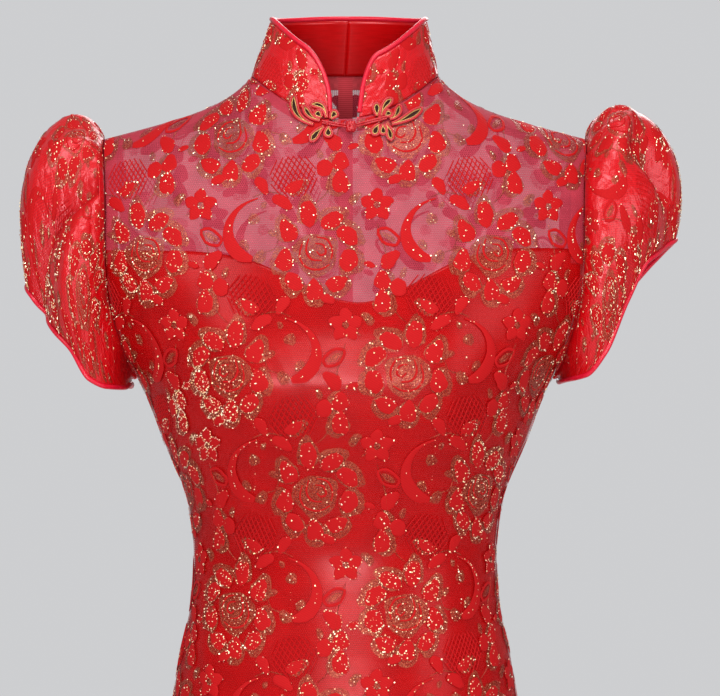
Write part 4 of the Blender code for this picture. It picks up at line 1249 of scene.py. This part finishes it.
def sleeve_shape(side_name):
    """A function of armhole points and shares of the run that gives sleeve points, and the armhole's ring."""
    sleeve = SLEEVES[side_name]
    ring = armhole_ring(sleeve.sign)
    top = ring[:, 2].max()
    low = ring[:, 2].min()
    centre_z = (top + low) / 2
    out = np.array((sleeve.sign, 0.0, 0.0))
    degrees = np.linspace(0, 180, 361)
    hem_front = np.array([smooth_row(HEM, "around", side_name, d) for d in degrees]) * MM
    back_column = "right_back" if side_name == "right" else "left"
    hem_back = np.array([smooth_row(HEM, "around", back_column, d) for d in degrees]) * MM

    def shape(start, r):
        around = np.arctan2(-start[..., 1] / SLEEVE_ARM_DEPTH, (start[..., 2] - centre_z) / ((top - low) / 2))
        c = (1 + np.cos(around)) / 2
        turn = np.abs(np.degrees(around))
        hem_z = np.where(around < 0, np.interp(turn, degrees, hem_back), np.interp(turn, degrees, hem_front))
        radial = np.stack([np.zeros_like(around), -np.sin(around), np.cos(around)], axis=-1)
        hem = np.stack([
            sleeve.sign * (sleeve.hem_near + sleeve.hem_reach * c**sleeve.hem_power) * MM,
            -sleeve.hem_depth * MM * np.sin(around),
            hem_z,
        ], axis=-1)
        lead = radial + out * sleeve.head_x
        lead = lead / np.linalg.norm(lead, axis=-1, keepdims=True)
        lead = lead * mix(SLEEVE_LEAST_LEAD, sleeve.head_up * MM, c**SLEEVE_LEAD_POWER)[..., None]
        drop = np.stack([
            np.full_like(around, sleeve.sign * sleeve.out_x),
            -SLEEVE_BELL * np.sin(around),
            np.ones_like(around),
        ], axis=-1)
        drop = drop / np.linalg.norm(drop, axis=-1, keepdims=True)
        drop = drop * mix(SLEEVE_LEAST_LEAD, sleeve.out_up * MM, c**SLEEVE_DROP_POWER)[..., None]
        a = start + out * SLEEVE_SEAM
        b = a + lead
        e = hem + drop
        t = r[..., None]
        s = 1 - t
        p = a * s**3 + b * 3 * s * s * t + e * 3 * s * t * t + hem * t**3
        centre = np.stack([p[..., 0], np.zeros_like(around), mix(centre_z, hem_z, r)], axis=-1)
        away = p - centre
        outwards = away + out * np.linalg.norm(away, axis=-1, keepdims=True) * SLEEVE_PUFF
        outwards = outwards / np.linalg.norm(outwards, axis=-1, keepdims=True)
        push = np.zeros_like(around)
        for pleat in PLEATS:
            if pleat.sleeve != side_name:
                continue
            along = np.clip((r - pleat.start) / (pleat.end - pleat.start), 0, 1)
            apart = (np.degrees(around) - pleat.around - pleat.drift * r) / pleat.width
            push = push + pleat.depth * MM * np.exp(-apart * apart) * np.sin(np.pi * along) ** 0.7
        return p + outwards * push[..., None], away

    return shape, ring


def sleeve_cloth(side_name):
    """The lace's cloth on a sleeve: flat places are distances round it from the top and down from its head."""
    shape, ring = sleeve_shape(side_name)
    count = len(ring)
    closed = np.concatenate([ring[count // 2 :], ring[: count // 2 + 1]])
    ids = np.arange(count + 1, dtype=float)
    shares = np.linspace(0, 1, 41)
    r_grid, id_grid = np.meshgrid(shares, ids, indexing="ij")
    grid, _ = shape(closed[id_grid.astype(int)], r_grid)
    middle = grid[16]
    around_length = np.concatenate([[0], np.cumsum(np.linalg.norm(np.diff(middle, axis=0), axis=1))])
    around_length -= around_length[count - count // 2]
    run_length = np.linalg.norm(np.diff(grid, axis=0), axis=-1).sum(axis=0)

    def start_of(flat):
        at = np.interp(flat[:, 0], around_length, ids)
        low = np.minimum(at.astype(int), count - 1)
        part = (at - low)[:, None]
        return closed[low] * (1 - part) + closed[low + 1] * part, np.interp(at, ids, run_length)

    def trim(flat):
        _, run = start_of(flat)
        r = -flat[:, 1] / run
        inside = (r > 0.01) & (r < 1 - EDGE / run) & (run > 16 * MM)
        inside &= (flat[:, 0] > around_length[0]) & (flat[:, 0] < around_length[-1])
        r = np.clip(r, 0.01, np.maximum(0.02, 1 - EDGE / run))
        x = np.clip(flat[:, 0], around_length[0], around_length[-1])
        return np.stack([x, -r * run], axis=1), inside

    def point(flat):
        start, run = start_of(flat)
        return shape(start, np.clip(-flat[:, 1] / run, 0, 1))[0]

    def outward(flat, points):
        start, run = start_of(flat)
        r = np.clip(-flat[:, 1] / run, 0, 1)
        away = shape(start, r)[1]
        away[:, 0] += SLEEVES[side_name].sign * np.where(r > 0.3, 0.03, -0.02)
        return away

    return Cloth(trim, point, outward), around_length, run_length


print("left sleeve ring:", len(armhole_ring(-1)), "points")

# %% Sleeve pieces
sleeve_hems = {}
for side_name, sleeve in SLEEVES.items():
    shape, ring = sleeve_shape(side_name)
    shares = np.linspace(0, 1, RUN_STEPS + 1)
    r_grid, id_grid = np.meshgrid(shares, np.arange(len(ring)), indexing="ij")
    points, away = shape(ring[id_grid], r_grid)
    steps = np.linalg.norm(np.diff(points, axis=0), axis=-1)
    down = -np.concatenate([np.zeros((1, len(ring))), np.cumsum(steps, axis=0)])
    middle = points[RUN_STEPS * 2 // 5]
    round_steps = np.linalg.norm(np.roll(middle, -1, axis=0) - middle, axis=1)
    along = np.concatenate([[0], np.cumsum(round_steps)])
    flat = np.stack([
        np.broadcast_to(along, (RUN_STEPS + 1, len(ring) + 1)),
        np.concatenate([down, down[:, :1]], axis=1),
    ], axis=-1)
    outward = away + np.array((sleeve.sign * 0.02, 0, 0))
    shell = sheet_piece(
        "sleeve_shell_" + side_name, points, flat, outward, [MOUNTED, SATIN], closed=True, wall=SLEEVE_WALL
    )
    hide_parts("sleeve_" + side_name)
    cloth, around_length, run_length = sleeve_cloth(side_name)
    lace, glitter = lay_lace(
        "sleeve_" + side_name, cloth, (around_length[0], -run_length.max()), (around_length[-1], 0)
    )
    pieces["sleeve_" + side_name] = (shell, lace, glitter)
    sleeve_hems[side_name] = (points[-1], points[-3])

# %% [markdown]
# ## Stand collar
# The collar stands on the neck seam and leans in towards the neck. Its two front corners are rounded off
# down to the V, and it splits at the centre back, where the zip ends.

# %% Collar
COLLAR_HEIGHT = 47 * MM
COLLAR_LEAN = 0.28
COLLAR_SHIFT = 3 * MM
COLLAR_SEAT = 1.0 * MM
COLLAR_FRONT_GAP = 4 * MM
COLLAR_CORNER = {"left": 36 * MM, "right": 19 * MM}
COLLAR_LEAST = 3 * MM
COLLAR_WALL = 1.6 * MM
# how far the lace stays inside the front edge, the seams and the top edge
COLLAR_EDGE = 1.5 * MM
COLLAR_SEAM = 0.6 * MM
COLLAR_TOP = 0.8 * MM
NECK_START = 1 / 24
NECK_SHARE = 1 / 3
NECK_STEPS = 30


def neck_ring(sign):
    """The neck seam from the V to the centre back on one side."""
    parts = []
    for side in ("front", "back"):
        u = sign * np.linspace(NECK_START if side == "front" else 0.0, NECK_SHARE, NECK_STEPS + 1)
        x, z = panel_xz(np.zeros_like(u), u, side)
        parts.append(on_body(x, z, side))
    return np.concatenate([parts[0], parts[1][::-1][1:]])


def collar_shape(side_name):
    """A function of distance along the neck seam and height, with the length and the height at each place."""
    sign = -1 if side_name == "left" else 1
    ring = neck_ring(sign)
    first = ring[1] - ring[0]
    ring[0] = ring[0] + first / np.linalg.norm(first) * min(COLLAR_FRONT_GAP, np.linalg.norm(first) * 0.9)
    runs = np.concatenate([[0], np.cumsum(np.linalg.norm(np.diff(ring, axis=0), axis=1))])
    corner = COLLAR_CORNER[side_name]

    def height_at(run):
        turn = np.clip(1 - run / corner, 0, 1)
        return np.maximum(COLLAR_HEIGHT * np.sqrt(1 - turn * turn), COLLAR_LEAST)

    def point(flat):
        run = np.clip(flat[:, 0], 0, runs[-1])
        base = np.stack([np.interp(run, runs, ring[:, k]) for k in range(3)], axis=1)
        inwards = -base[:, :2] / np.linalg.norm(base[:, :2], axis=1, keepdims=True)
        up = np.concatenate([inwards * COLLAR_LEAN, np.ones((len(base), 1))], axis=1)
        up /= np.linalg.norm(up, axis=1, keepdims=True)
        share = flat[:, 1] / height_at(run)
        points = base + up * (flat[:, 1] + COLLAR_SEAT * (1 - share))[:, None]
        points[:, 0] += COLLAR_SHIFT * flat[:, 1] / COLLAR_HEIGHT
        return points

    def trim(flat):
        low = np.stack([np.full(len(flat), COLLAR_EDGE), np.full(len(flat), COLLAR_SEAM)], axis=1)
        run = np.clip(flat[:, 0], COLLAR_EDGE, runs[-1] - COLLAR_SEAM)
        high = np.stack([np.full(len(flat), runs[-1] - COLLAR_SEAM), height_at(run) - COLLAR_TOP], axis=1)
        return np.clip(flat, low, high), ((flat > low) & (flat < high)).all(axis=1)

    def outward(flat, points):
        return np.stack([points[:, 0], points[:, 1], np.full(len(points), 0.01)], axis=1)

    return Cloth(trim, point, outward), runs[-1], height_at


collar_tops = {}
for side_name in ("left", "right"):
    cloth, length, height_at = collar_shape(side_name)
    runs = np.linspace(0, length, 97)
    shares = np.linspace(0, 1, 17)
    share_grid, run_grid = np.meshgrid(shares, runs, indexing="ij")
    flat = np.stack([run_grid, share_grid * height_at(run_grid)], axis=-1)
    points = cloth.point(flat.reshape(-1, 2)).reshape(*run_grid.shape, 3)
    stand = sheet_piece(
        "collar_shell_" + side_name, points, flat, cloth.outward(None, points.reshape(-1, 3)), [MOUNTED, SATIN],
        wall=COLLAR_WALL,
    )
    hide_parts("collar_" + side_name)
    lace, glitter = lay_lace("collar_" + side_name, cloth, (0, 0), (length, COLLAR_HEIGHT))
    pieces["collar_" + side_name] = (stand, lace, glitter)
    inner_shift = np.stack([-points[-1][:, 0], -points[-1][:, 1], np.zeros(len(points[-1]))], axis=1)
    inner_shift /= np.linalg.norm(inner_shift, axis=1, keepdims=True)
    collar_tops[side_name] = points[-1] + inner_shift * COLLAR_WALL / 2

# %% [markdown]
# ## Piping
# Satin cut on the bias is folded over a cord and caught in the edge seams. It is a round tube along the
# edge, and its flat flange is hidden in the seam, so only the tube is made.

# %% Piping
PIPING_RADIUS = 1.9 * MM
PIPING_SIDES = 12


def cord_piece(name, path, radius, mat, closed=False, sides=PIPING_SIDES):
    """A round cord along a path, with its UV map in metres; ends are closed."""
    path = [Vector(p) for p in path]
    count = len(path)
    vertices = []
    lengths = [0.0]
    normal = None
    for k, p in enumerate(path):
        before = path[(k - 1) % count] if closed or k else p
        after = path[(k + 1) % count] if closed or k < count - 1 else p
        along = (after - before).normalized()
        if normal is None:
            normal = along.orthogonal().normalized()
        normal = (normal - along * normal.dot(along)).normalized()
        across = along.cross(normal)
        for s in range(sides):
            a = 2 * math.pi * s / sides
            vertices.append(p + radius * (normal * math.cos(a) + across * math.sin(a)))
        lengths.append(lengths[-1] + (path[(k + 1) % count] - p).length)
    shift = 0
    if closed:
        last = vertices[-sides]
        shift = min(range(sides), key=lambda s: (vertices[s] - last).length)
    faces = []
    uvs = []
    for k in range(count if closed else count - 1):
        n = (k + 1) % count
        turn = shift if closed and k == count - 1 else 0
        for s in range(sides):
            t = (s + 1) % sides
            here = (k * sides + s, k * sides + t)
            there = (n * sides + (t + turn) % sides, n * sides + (s + turn) % sides)
            faces.append(here + there)
            girth = 2 * math.pi * radius / sides
            uvs.extend((
                (girth * s, lengths[k]), (girth * (s + 1), lengths[k]),
                (girth * (s + 1), lengths[k + 1]), (girth * s, lengths[k + 1]),
            ))
    if not closed:
        for start, order in ((0, -1), ((count - 1) * sides, 1)):
            ids = list(range(start, start + sides))[::order]
            faces.append(ids)
            uvs.extend([(0.0, 0.0)] * sides)
    mesh = bpy.data.meshes.new(name)
    mesh.from_pydata(vertices, [], faces)
    layer = mesh.uv_layers.new(name="cloth")
    layer.data.foreach_set("uv", np.array(uvs, dtype=np.float32).ravel())
    bm = bmesh.new()
    bm.from_mesh(mesh)
    bmesh.ops.recalc_face_normals(bm, faces=bm.faces)
    bm.to_mesh(mesh)
    bm.free()
    return finish_mesh(name, mesh, [mat], 70)


for side_name, (hem, above) in sleeve_hems.items():
    down = hem - above
    down /= np.linalg.norm(down, axis=1, keepdims=True)
    centre = hem.mean(axis=0)
    inwards = np.stack([centre[0] - hem[:, 0], -hem[:, 1], np.zeros(len(hem))], axis=1)
    inwards /= np.linalg.norm(inwards, axis=1, keepdims=True)
    path = hem + down * PIPING_RADIUS * 0.9 + inwards * SLEEVE_WALL / 2
    piping = cord_piece("sleeve_piping_" + side_name, path, PIPING_RADIUS, PIPING_SATIN_PAINTED_LIGHTER, closed=True)
    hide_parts("piping_sleeve_" + side_name)
    pieces["sleeve_" + side_name] = (*pieces["sleeve_" + side_name], piping)
for side_name, top in collar_tops.items():
    path = top + np.array((0, 0, PIPING_RADIUS * 0.8))
    piping = cord_piece("collar_piping_" + side_name, path, PIPING_RADIUS, PIPING_SATIN_PAINTED_LIGHTER)
    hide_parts("piping_collar_" + side_name)
    pieces["collar_" + side_name] = (*pieces["collar_" + side_name], piping)
print("piping radius", PIPING_RADIUS / MM, "mm")

# %% [markdown]
# ## Frog
# Two sprays of loops lie on the yoke at either side of the V. Each loop is a fine red satin cord laid
# round a gold thread and a black infill, all drawn in at the hub. Two short cords run from the hubs to a
# woven knot button.

# %% Frog materials
# rayon, twisted: a fine satin cord whose strands show as slanting lines of painted shade and highlight
CORD, tree, shader = new_material(
    "rayon satin cord", Roughness=0.38, Specular_IOR_Level=0.55, Sheen_Weight=0.05, Sheen_Roughness=0.35,
    Sheen_Tint=colour("#F04060"),
)
cord_uv = add_node(tree, "ShaderNodeUVMap", {"uv_map": "cloth"}).outputs["UV"]
twist = add_node(
    tree, "ShaderNodeTexWave", {"wave_type": "BANDS", "bands_direction": "DIAGONAL"},
    {"Scale": 420.0, "Distortion": 0.4}, {"Vector": cord_uv},
).outputs["Fac"]
two_tones(tree, shader, twist, 0.2, 0.9, "#8C0410", "#C80C1C")
relief(tree, shader, twist, 0.35, 0.0002)

# film wound round a core: a warm metal whose fine turns are painted bright and dark, a painted highlight and
# shade
GOLD, tree, shader = new_material("gold thread", Metallic=0.75, Roughness=0.36)
gold_uv = add_node(tree, "ShaderNodeUVMap", {"uv_map": "cloth"}).outputs["UV"]
turns = add_node(
    tree, "ShaderNodeTexWave", {"wave_type": "BANDS", "bands_direction": "DIAGONAL"},
    {"Scale": 700.0, "Distortion": 0.5}, {"Vector": gold_uv},
).outputs["Fac"]
two_tones(tree, shader, turns, 0.2, 0.9, "#8A5A2C", "#E0B878")
relief(tree, shader, turns, 0.4, 0.00015)

# velvet: dark and dull, with a faint warm pile where the light grazes it
INFILL, tree, shader = new_material(
    "velvet infill", Roughness=0.85, Specular_IOR_Level=0.2, Sheen_Weight=0.4, Sheen_Roughness=0.5,
    Sheen_Tint=colour("#905040"),
)
place = add_node(tree, "ShaderNodeTexCoord").outputs["Object"]
pile = add_node(
    tree, "ShaderNodeTexNoise", None, {"Scale": 2400.0, "Detail": 2.0}, {"Vector": place}
).outputs["Fac"]
two_tones(tree, shader, pile, 0.35, 0.7, "#120806", "#3A1C12")
relief(tree, shader, pile, 0.4, 0.0003)
print(CORD.name, GOLD.name, INFILL.name)

# %% Frog shapes
Petal = namedtuple("Petal", "side start_x start_z via_x via_z tip_x tip_z width")
FROG_HUBS = {"left": (-13.2, -40.3), "right": (27.6, -37.2)}
FROG_PETALS = (
    Petal("left", -24.0, -41.5, -42.5, -36.0, -39.0, -17.0, 1.9),
    Petal("left", -19.0, -38.0, -28.5, -36.5, -31.0, -26.0, 1.6),
    Petal("left", -17.5, -36.0, -19.5, -34.5, -22.5, -30.5, 2.1),
    Petal("left", -14.0, -36.5, -14.5, -23.5, -26.5, -25.5, 1.6),
    Petal("left", -10.5, -37.5, -9.5, -34.5, -6.0, -31.0, 2.1),
    Petal("left", -12.5, -43.5, -12.5, -46.0, -12.5, -52.0, 2.2),
    Petal("left", -16.0, -43.5, -21.0, -47.0, -26.0, -55.5, 2.0),
    Petal("right", 25.5, -35.0, 25.0, -31.5, 25.0, -24.0, 2.0),
    Petal("right", 28.5, -35.0, 29.5, -25.0, 37.5, -20.5, 1.8),
    Petal("right", 31.0, -35.0, 33.0, -33.5, 36.0, -30.5, 2.0),
    Petal("right", 35.0, -37.0, 42.0, -35.0, 42.5, -25.0, 1.6),
    Petal("right", 36.5, -41.0, 48.0, -38.0, 60.5, -27.5, 2.0),
    Petal("right", 26.5, -41.5, 25.0, -43.5, 22.5, -50.5, 2.2),
    Petal("right", 29.5, -42.0, 30.0, -44.5, 30.0, -50.0, 2.0),
    Petal("right", 32.0, -41.5, 35.0, -45.0, 36.0, -54.5, 1.8),
)
FROG_BLUR = 0.9 * MM
PETAL_STEPS = 14
PETAL_LIFT = 1.5 * MM
PETAL_CORD = 1.0 * MM
PETAL_GOLD = 0.5 * MM
# millimetres that the gold and the velvet lie inside the loop's line
GOLD_INSET = 1.25
GOLD_LIFT = 1.75 * MM
INFILL_INSET = 0.8
# the mound of velvet, from one edge to the other, in millimetres
INFILL_LIFTS = (0.8, 1.35, 1.35, 0.8)
KNOT_LIFT = 1.15
KNOT_X = 5.0 * MM
KNOT_Z = -43.6 * MM
KNOT_RADIUS = 4.4 * MM
KNOT_STRAND = 1.5 * MM
KNOT_STEPS = 120
HUB_LIFT = 1.6 * MM
LEAD_LIFT = 1.7 * MM
LEAD_RADIUS = 0.85 * MM
WRAP_STEPS = 28
WRAP_TURNS = 3
WRAP_HALF_LENGTH = 1.2 * MM
WRAP_DEPTH = 1.0 * MM
WRAP_HEIGHT = 2.2 * MM
WRAP_RADIUS = 0.6 * MM


def frog_depth(x, z):
    """How far forward the frog lies: clear of the yoke and of the collar above the neck seam."""
    neck = float(top_edge(x, "front"))
    yoke = float(depth_at(x, min(z, float(ridge(x, "front")) - FROG_BLUR), "front"))
    stand = float(depth_at(x, neck, "front")) - COLLAR_LEAN * (z - neck)
    return max(yoke, stand) if z < neck + FROG_BLUR else stand


def frog_point(x, z, lift):
    """A point in front of the cloth, eased over the step where the collar meets the yoke."""
    around = [frog_depth(x, z + dz) for dz in (-FROG_BLUR, 0, FROG_BLUR)]
    return Vector((x, -(max(around) + lift), z))


def petal_loop(petal, shrink):
    """The outline of a loop, drawn in by shrink, as flat points, from the hub round the tip and back."""
    start, via, tip = (np.array(p) for p in (
        (petal.start_x, petal.start_z), (petal.via_x, petal.via_z), (petal.tip_x, petal.tip_z)
    ))
    t = np.linspace(0.0, 1.0, PETAL_STEPS + 1)[:, None]
    spine = start * (1 - t) ** 2 + via * 2 * t * (1 - t) + tip * t * t
    along = (via - start) * (1 - t) + (tip - via) * t
    along /= np.linalg.norm(along, axis=1, keepdims=True)
    across = np.stack([-along[:, 1], along[:, 0]], axis=1)
    turn = math.pi * t[:, 0]
    grow = np.sin(0.5 * turn) ** 1.3
    end = np.sqrt(np.clip(1 - np.clip((t[:, 0] - 0.6) / 0.4, 0, 1) ** 2, 0, 1))
    half = np.maximum((0.7 + 1.4 * petal.width * grow) * end - shrink, 0.02)
    spine = spine - along * shrink * (t**6)
    left = spine + across * half[:, None]
    right = spine - across * half[:, None]
    return np.concatenate([left, right[::-1][1:]]), spine, left, right


def join_pieces(name, parts):
    """Several pieces made into one."""
    bpy.ops.object.select_all(action="DESELECT")
    for part in parts:
        part.select_set(True)
    bpy.context.view_layer.objects.active = parts[0]
    bpy.ops.object.join()
    parts[0].name = name
    return parts[0]


def infill_piece(name, petal):
    """The scrap of velvet inside a loop, a low mound."""
    _, spine, left, right = petal_loop(petal, INFILL_INSET)
    columns = [left, mix(spine, left, 0.4), mix(spine, right, 0.4), right]
    grid = np.array([
        [frog_point(x * MM, z * MM, lift * MM) for x, z in column]
        for column, lift in zip(columns, INFILL_LIFTS, strict=True)
    ])
    flat = grid[..., [0, 2]]
    flat = np.concatenate([flat, flat[:, -1:]], axis=1)
    return sheet_piece(name, grid, flat, np.array((0.0, -1.0, 0.0)), [INFILL])


for side_name, (hub_x, hub_z) in FROG_HUBS.items():
    cords = []
    golds = []
    fills = []
    names = []
    for petal in (p for p in FROG_PETALS if p.side == side_name):
        names.append(f"frog_{side_name}_petal_{len(names) + 1}")
        path = [frog_point(x * MM, z * MM, PETAL_LIFT) for x, z in petal_loop(petal, 0.0)[0]]
        cords.append(cord_piece("loop", path, PETAL_CORD, CORD, sides=10))
        path = [frog_point(x * MM, z * MM, GOLD_LIFT) for x, z in petal_loop(petal, GOLD_INSET)[0]]
        golds.append(cord_piece("gold", path, PETAL_GOLD, GOLD, sides=6))
        fills.append(infill_piece("fill", petal))
    centre = frog_point(KNOT_X, KNOT_Z, KNOT_RADIUS * KNOT_LIFT)
    hub = frog_point(hub_x * MM, hub_z * MM, HUB_LIFT)
    spray = join_pieces("frog_spray_" + side_name, cords)
    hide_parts(*names)
    join_pieces("frog_gold_" + side_name, golds)
    join_pieces("frog_velvet_" + side_name, fills)
    # two strands side by side run from the hub to the knot, with a wrap over the hub
    strands = []
    for side in (-1, 1):
        path = []
        for t in np.linspace(-0.22, 1.0, 14):
            p = hub.lerp(centre, t)
            p = frog_point(p.x, p.z, LEAD_LIFT) if t < 0.6 else p
            path.append(p + Vector((0, 0, side * LEAD_RADIUS)))
        strands.append(cord_piece("strand", path, LEAD_RADIUS, CORD, sides=10))
    wrap = []
    for k in range(WRAP_STEPS):
        a = 2 * math.pi * k / WRAP_STEPS * WRAP_TURNS
        x = WRAP_HALF_LENGTH * (2 * k / WRAP_STEPS - 1)
        wrap.append(hub + Vector((x, -WRAP_DEPTH * math.cos(a), WRAP_HEIGHT * math.sin(a))))
    strands.append(cord_piece("wrap", wrap, WRAP_RADIUS, CORD, sides=8))
    lead = join_pieces("frog_lead_" + side_name, strands)
    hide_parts("frog_cord_" + side_name)

knot_path = []
for k in range(KNOT_STEPS):
    a = 4 * math.pi * k / KNOT_STEPS
    rise = 0.95 * math.sin(2.5 * a)
    reach = KNOT_RADIUS - KNOT_STRAND * (0.75 + 0.35 * math.cos(5 * a))
    out = Vector((math.cos(a) * math.cos(rise), math.sin(a) * math.cos(rise), math.sin(rise)))
    knot_path.append(centre + out * reach)
knot = cord_piece("frog_knot_button", knot_path, KNOT_STRAND, CORD, closed=True, sides=10)
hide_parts("frog_knot")
print("frog:", len(FROG_PETALS), "loops, knot", round(2 * KNOT_RADIUS / MM, 1), "mm across")

# %% [markdown]
# ## Zip
# The slider and its pull tab are zinc castings enamelled red. The enamel is worn in places, where
# the metal shows through. The tape and the closed coil show through the net of the back yoke.

# %% Zip
# stoved enamel on a zinc casting: glossy red, worn to the metal in places
ENAMEL, tree, shader = new_material("red enamel on zinc", Roughness=0.3, Metallic=0.25, Coat_Weight=0.4)
place = add_node(tree, "ShaderNodeTexCoord").outputs["Object"]
grain = add_node(
    tree, "ShaderNodeTexNoise", None, {"Scale": 900.0, "Detail": 3.0}, {"Vector": place}
).outputs["Fac"]
two_tones(tree, shader, grain, 0.62, 0.8, "#A81020", "#B86058")
relief(tree, shader, grain, 0.12, 0.0001)
for node in ("zip_slider", "zip_tab"):
    node_object = bpy.data.objects[node]
    for slot in node_object.material_slots:
        slot.material = ENAMEL

# polyester, woven narrow: a close rib across the tape, painted darker in its grooves as painted shade
ZIP_TAPE, tree, shader = new_material("polyester zip tape", Roughness=0.75, Sheen_Weight=0.15)
tape_uv = add_node(tree, "ShaderNodeUVMap", {"uv_map": "cloth"}).outputs["UV"]
rib = add_node(
    tree, "ShaderNodeTexWave", {"wave_type": "BANDS", "bands_direction": "Y"}, {"Scale": 200.0},
    {"Vector": tape_uv},
).outputs["Fac"]
two_tones(tree, shader, rib, 0.1, 0.9, "#A81420", "#C02C3A")
relief(tree, shader, rib, 0.3, 0.0002)

TAPE_HALF = 6 * MM
TAPE_INSET = 0.9 * MM
TAPE_ROWS = 60
TAPE_ABOVE = 2 * MM
TAPE_BELOW = 20 * MM
COIL_PITCH = 1.4 * MM
COIL_HALF = 1.6 * MM
COIL_RADIUS = 0.35 * MM
COIL_LIFT = 0.3 * MM
zip_low = float(lining_edge(0.0, "back")) - TAPE_BELOW
heights = np.linspace(float(top_edge(0.0, "back")) + TAPE_ABOVE, zip_low, TAPE_ROWS + 1)
x_grid, z_grid = np.meshgrid(np.linspace(-TAPE_HALF, TAPE_HALF, 9), heights)
points = on_body(x_grid, z_grid, "back")
normals = grid_normals(points, np.array((0.0, 1.0, 0.0)) + np.zeros_like(points))
flat = np.stack([x_grid, z_grid], axis=-1)
tape = sheet_piece("zip_tape", points - normals * TAPE_INSET, flat, np.array((0.0, 1.0, 0.0)), [ZIP_TAPE])
coil_points = []
for k in range(int((heights[0] - heights[-1]) / COIL_PITCH * 4)):
    z = heights[0] - k * COIL_PITCH / 4
    seat = on_body(np.array([0.0]), np.array([z]), "back")[0]
    side = (-1, -0.3, 1, 0.3)[k % 4]
    coil_points.append(Vector((side * COIL_HALF, seat[1] - TAPE_INSET + COIL_LIFT, z)))
coil = cord_piece("zip_coil", coil_points, COIL_RADIUS, ZIP_TAPE, sides=5)
print("zip tape", round((heights[0] - heights[-1]) * 1000), "mm of it above the lining")

# %% [markdown]
# ## Seam allowances
# The yoke is sheer, so the allowances inside it show as darker bands: along the shoulder seams, the
# armholes and the neck seam. Each is a narrow ribbon of lace and satin pressed flat under the net.

# %% Seam allowances
# lace and satin pressed flat together: dull, and seen through the net
ALLOWANCE, tree, shader = new_material(
    "folded seam allowance", Roughness=0.6, Sheen_Weight=0.2, Sheen_Roughness=0.4, Sheen_Tint=colour("#E06070")
)
seam_uv = add_node(tree, "ShaderNodeUVMap", {"uv_map": "cloth"}).outputs["UV"]
grain = add_node(
    tree, "ShaderNodeTexNoise", None, {"Scale": 260.0, "Detail": 3.0}, {"Vector": seam_uv}
).outputs["Fac"]
two_tones(tree, shader, grain, 0.3, 0.75, "#9C1420", "#C8303C")
relief(tree, shader, grain, 0.3, 0.0004)
ALLOWANCE_WIDTH = 10 * MM
ALLOWANCE_INSET = 0.8 * MM
for sign, hand in ((-1, "left"), (1, "right")):
    for side in ("front", "back"):
        runs = {}
        u = sign * np.linspace(NECK_SHARE + 0.004, 0.997, 60)
        runs["shoulder"] = (np.zeros_like(u), u)
        rows = np.linspace(0.03, YOKE_ROWS + 0.5, 60)
        runs["armhole"] = (rows, np.full_like(rows, float(sign)))
        u = sign * np.linspace(NECK_START if side == "front" else 0.0, NECK_SHARE, 40)
        runs["neck"] = (np.zeros_like(u), u)
        for seam, (row, at) in runs.items():
            x, z = panel_xz(row, at, side)
            edge = on_body(x, z, side)
            if seam != "armhole":
                x_in, z_in = x, z - ALLOWANCE_WIDTH
            else:
                x_in, z_in = x - sign * ALLOWANCE_WIDTH, z
            shares = np.linspace(-0.15 if seam == "neck" else 0.08, 1, 4)[:, None]
            points = on_body(mix(x, x_in, shares), mix(z, z_in, shares), side)
            outward = np.zeros_like(points)
            outward[..., 1] = -1 if side == "front" else 1
            normals = grid_normals(points, outward)
            length = np.concatenate([[0], np.cumsum(np.linalg.norm(np.diff(edge, axis=0), axis=1))])
            flat = np.stack(np.broadcast_arrays(length[None, :], shares * ALLOWANCE_WIDTH), axis=-1)
            ribbon = sheet_piece(
                f"allowance_{seam}_{side}_{hand}", points - normals * ALLOWANCE_INSET, flat, outward,
                [ALLOWANCE],
            )

# %% [markdown]
# ## How the cloth is cut
# The flat size that each sheet was cut to is listed here. The body pieces are stretched to their form, the
# sleeves are gathered into the armhole, and the collar is held between its seams.


BODY_CUTS = {"front": (0.47, 1.0), "back_left": (0.235, 1.0), "back_right": (0.235, 1.0)}
for name, (width, length) in BODY_CUTS.items():
    net, lining, lace, glitter = pieces[name]
SHELL_CUTS = {
    "sleeve_left": (0.40, 0.24, "gathered"),
    "sleeve_right": (0.38, 0.22, "gathered"),
    "collar_left": (0.235, 0.05, "stretched"),
    "collar_right": (0.235, 0.05, "stretched"),
}
for name, (width, length, held) in SHELL_CUTS.items():
    shell, lace, glitter, piping = pieces[name]
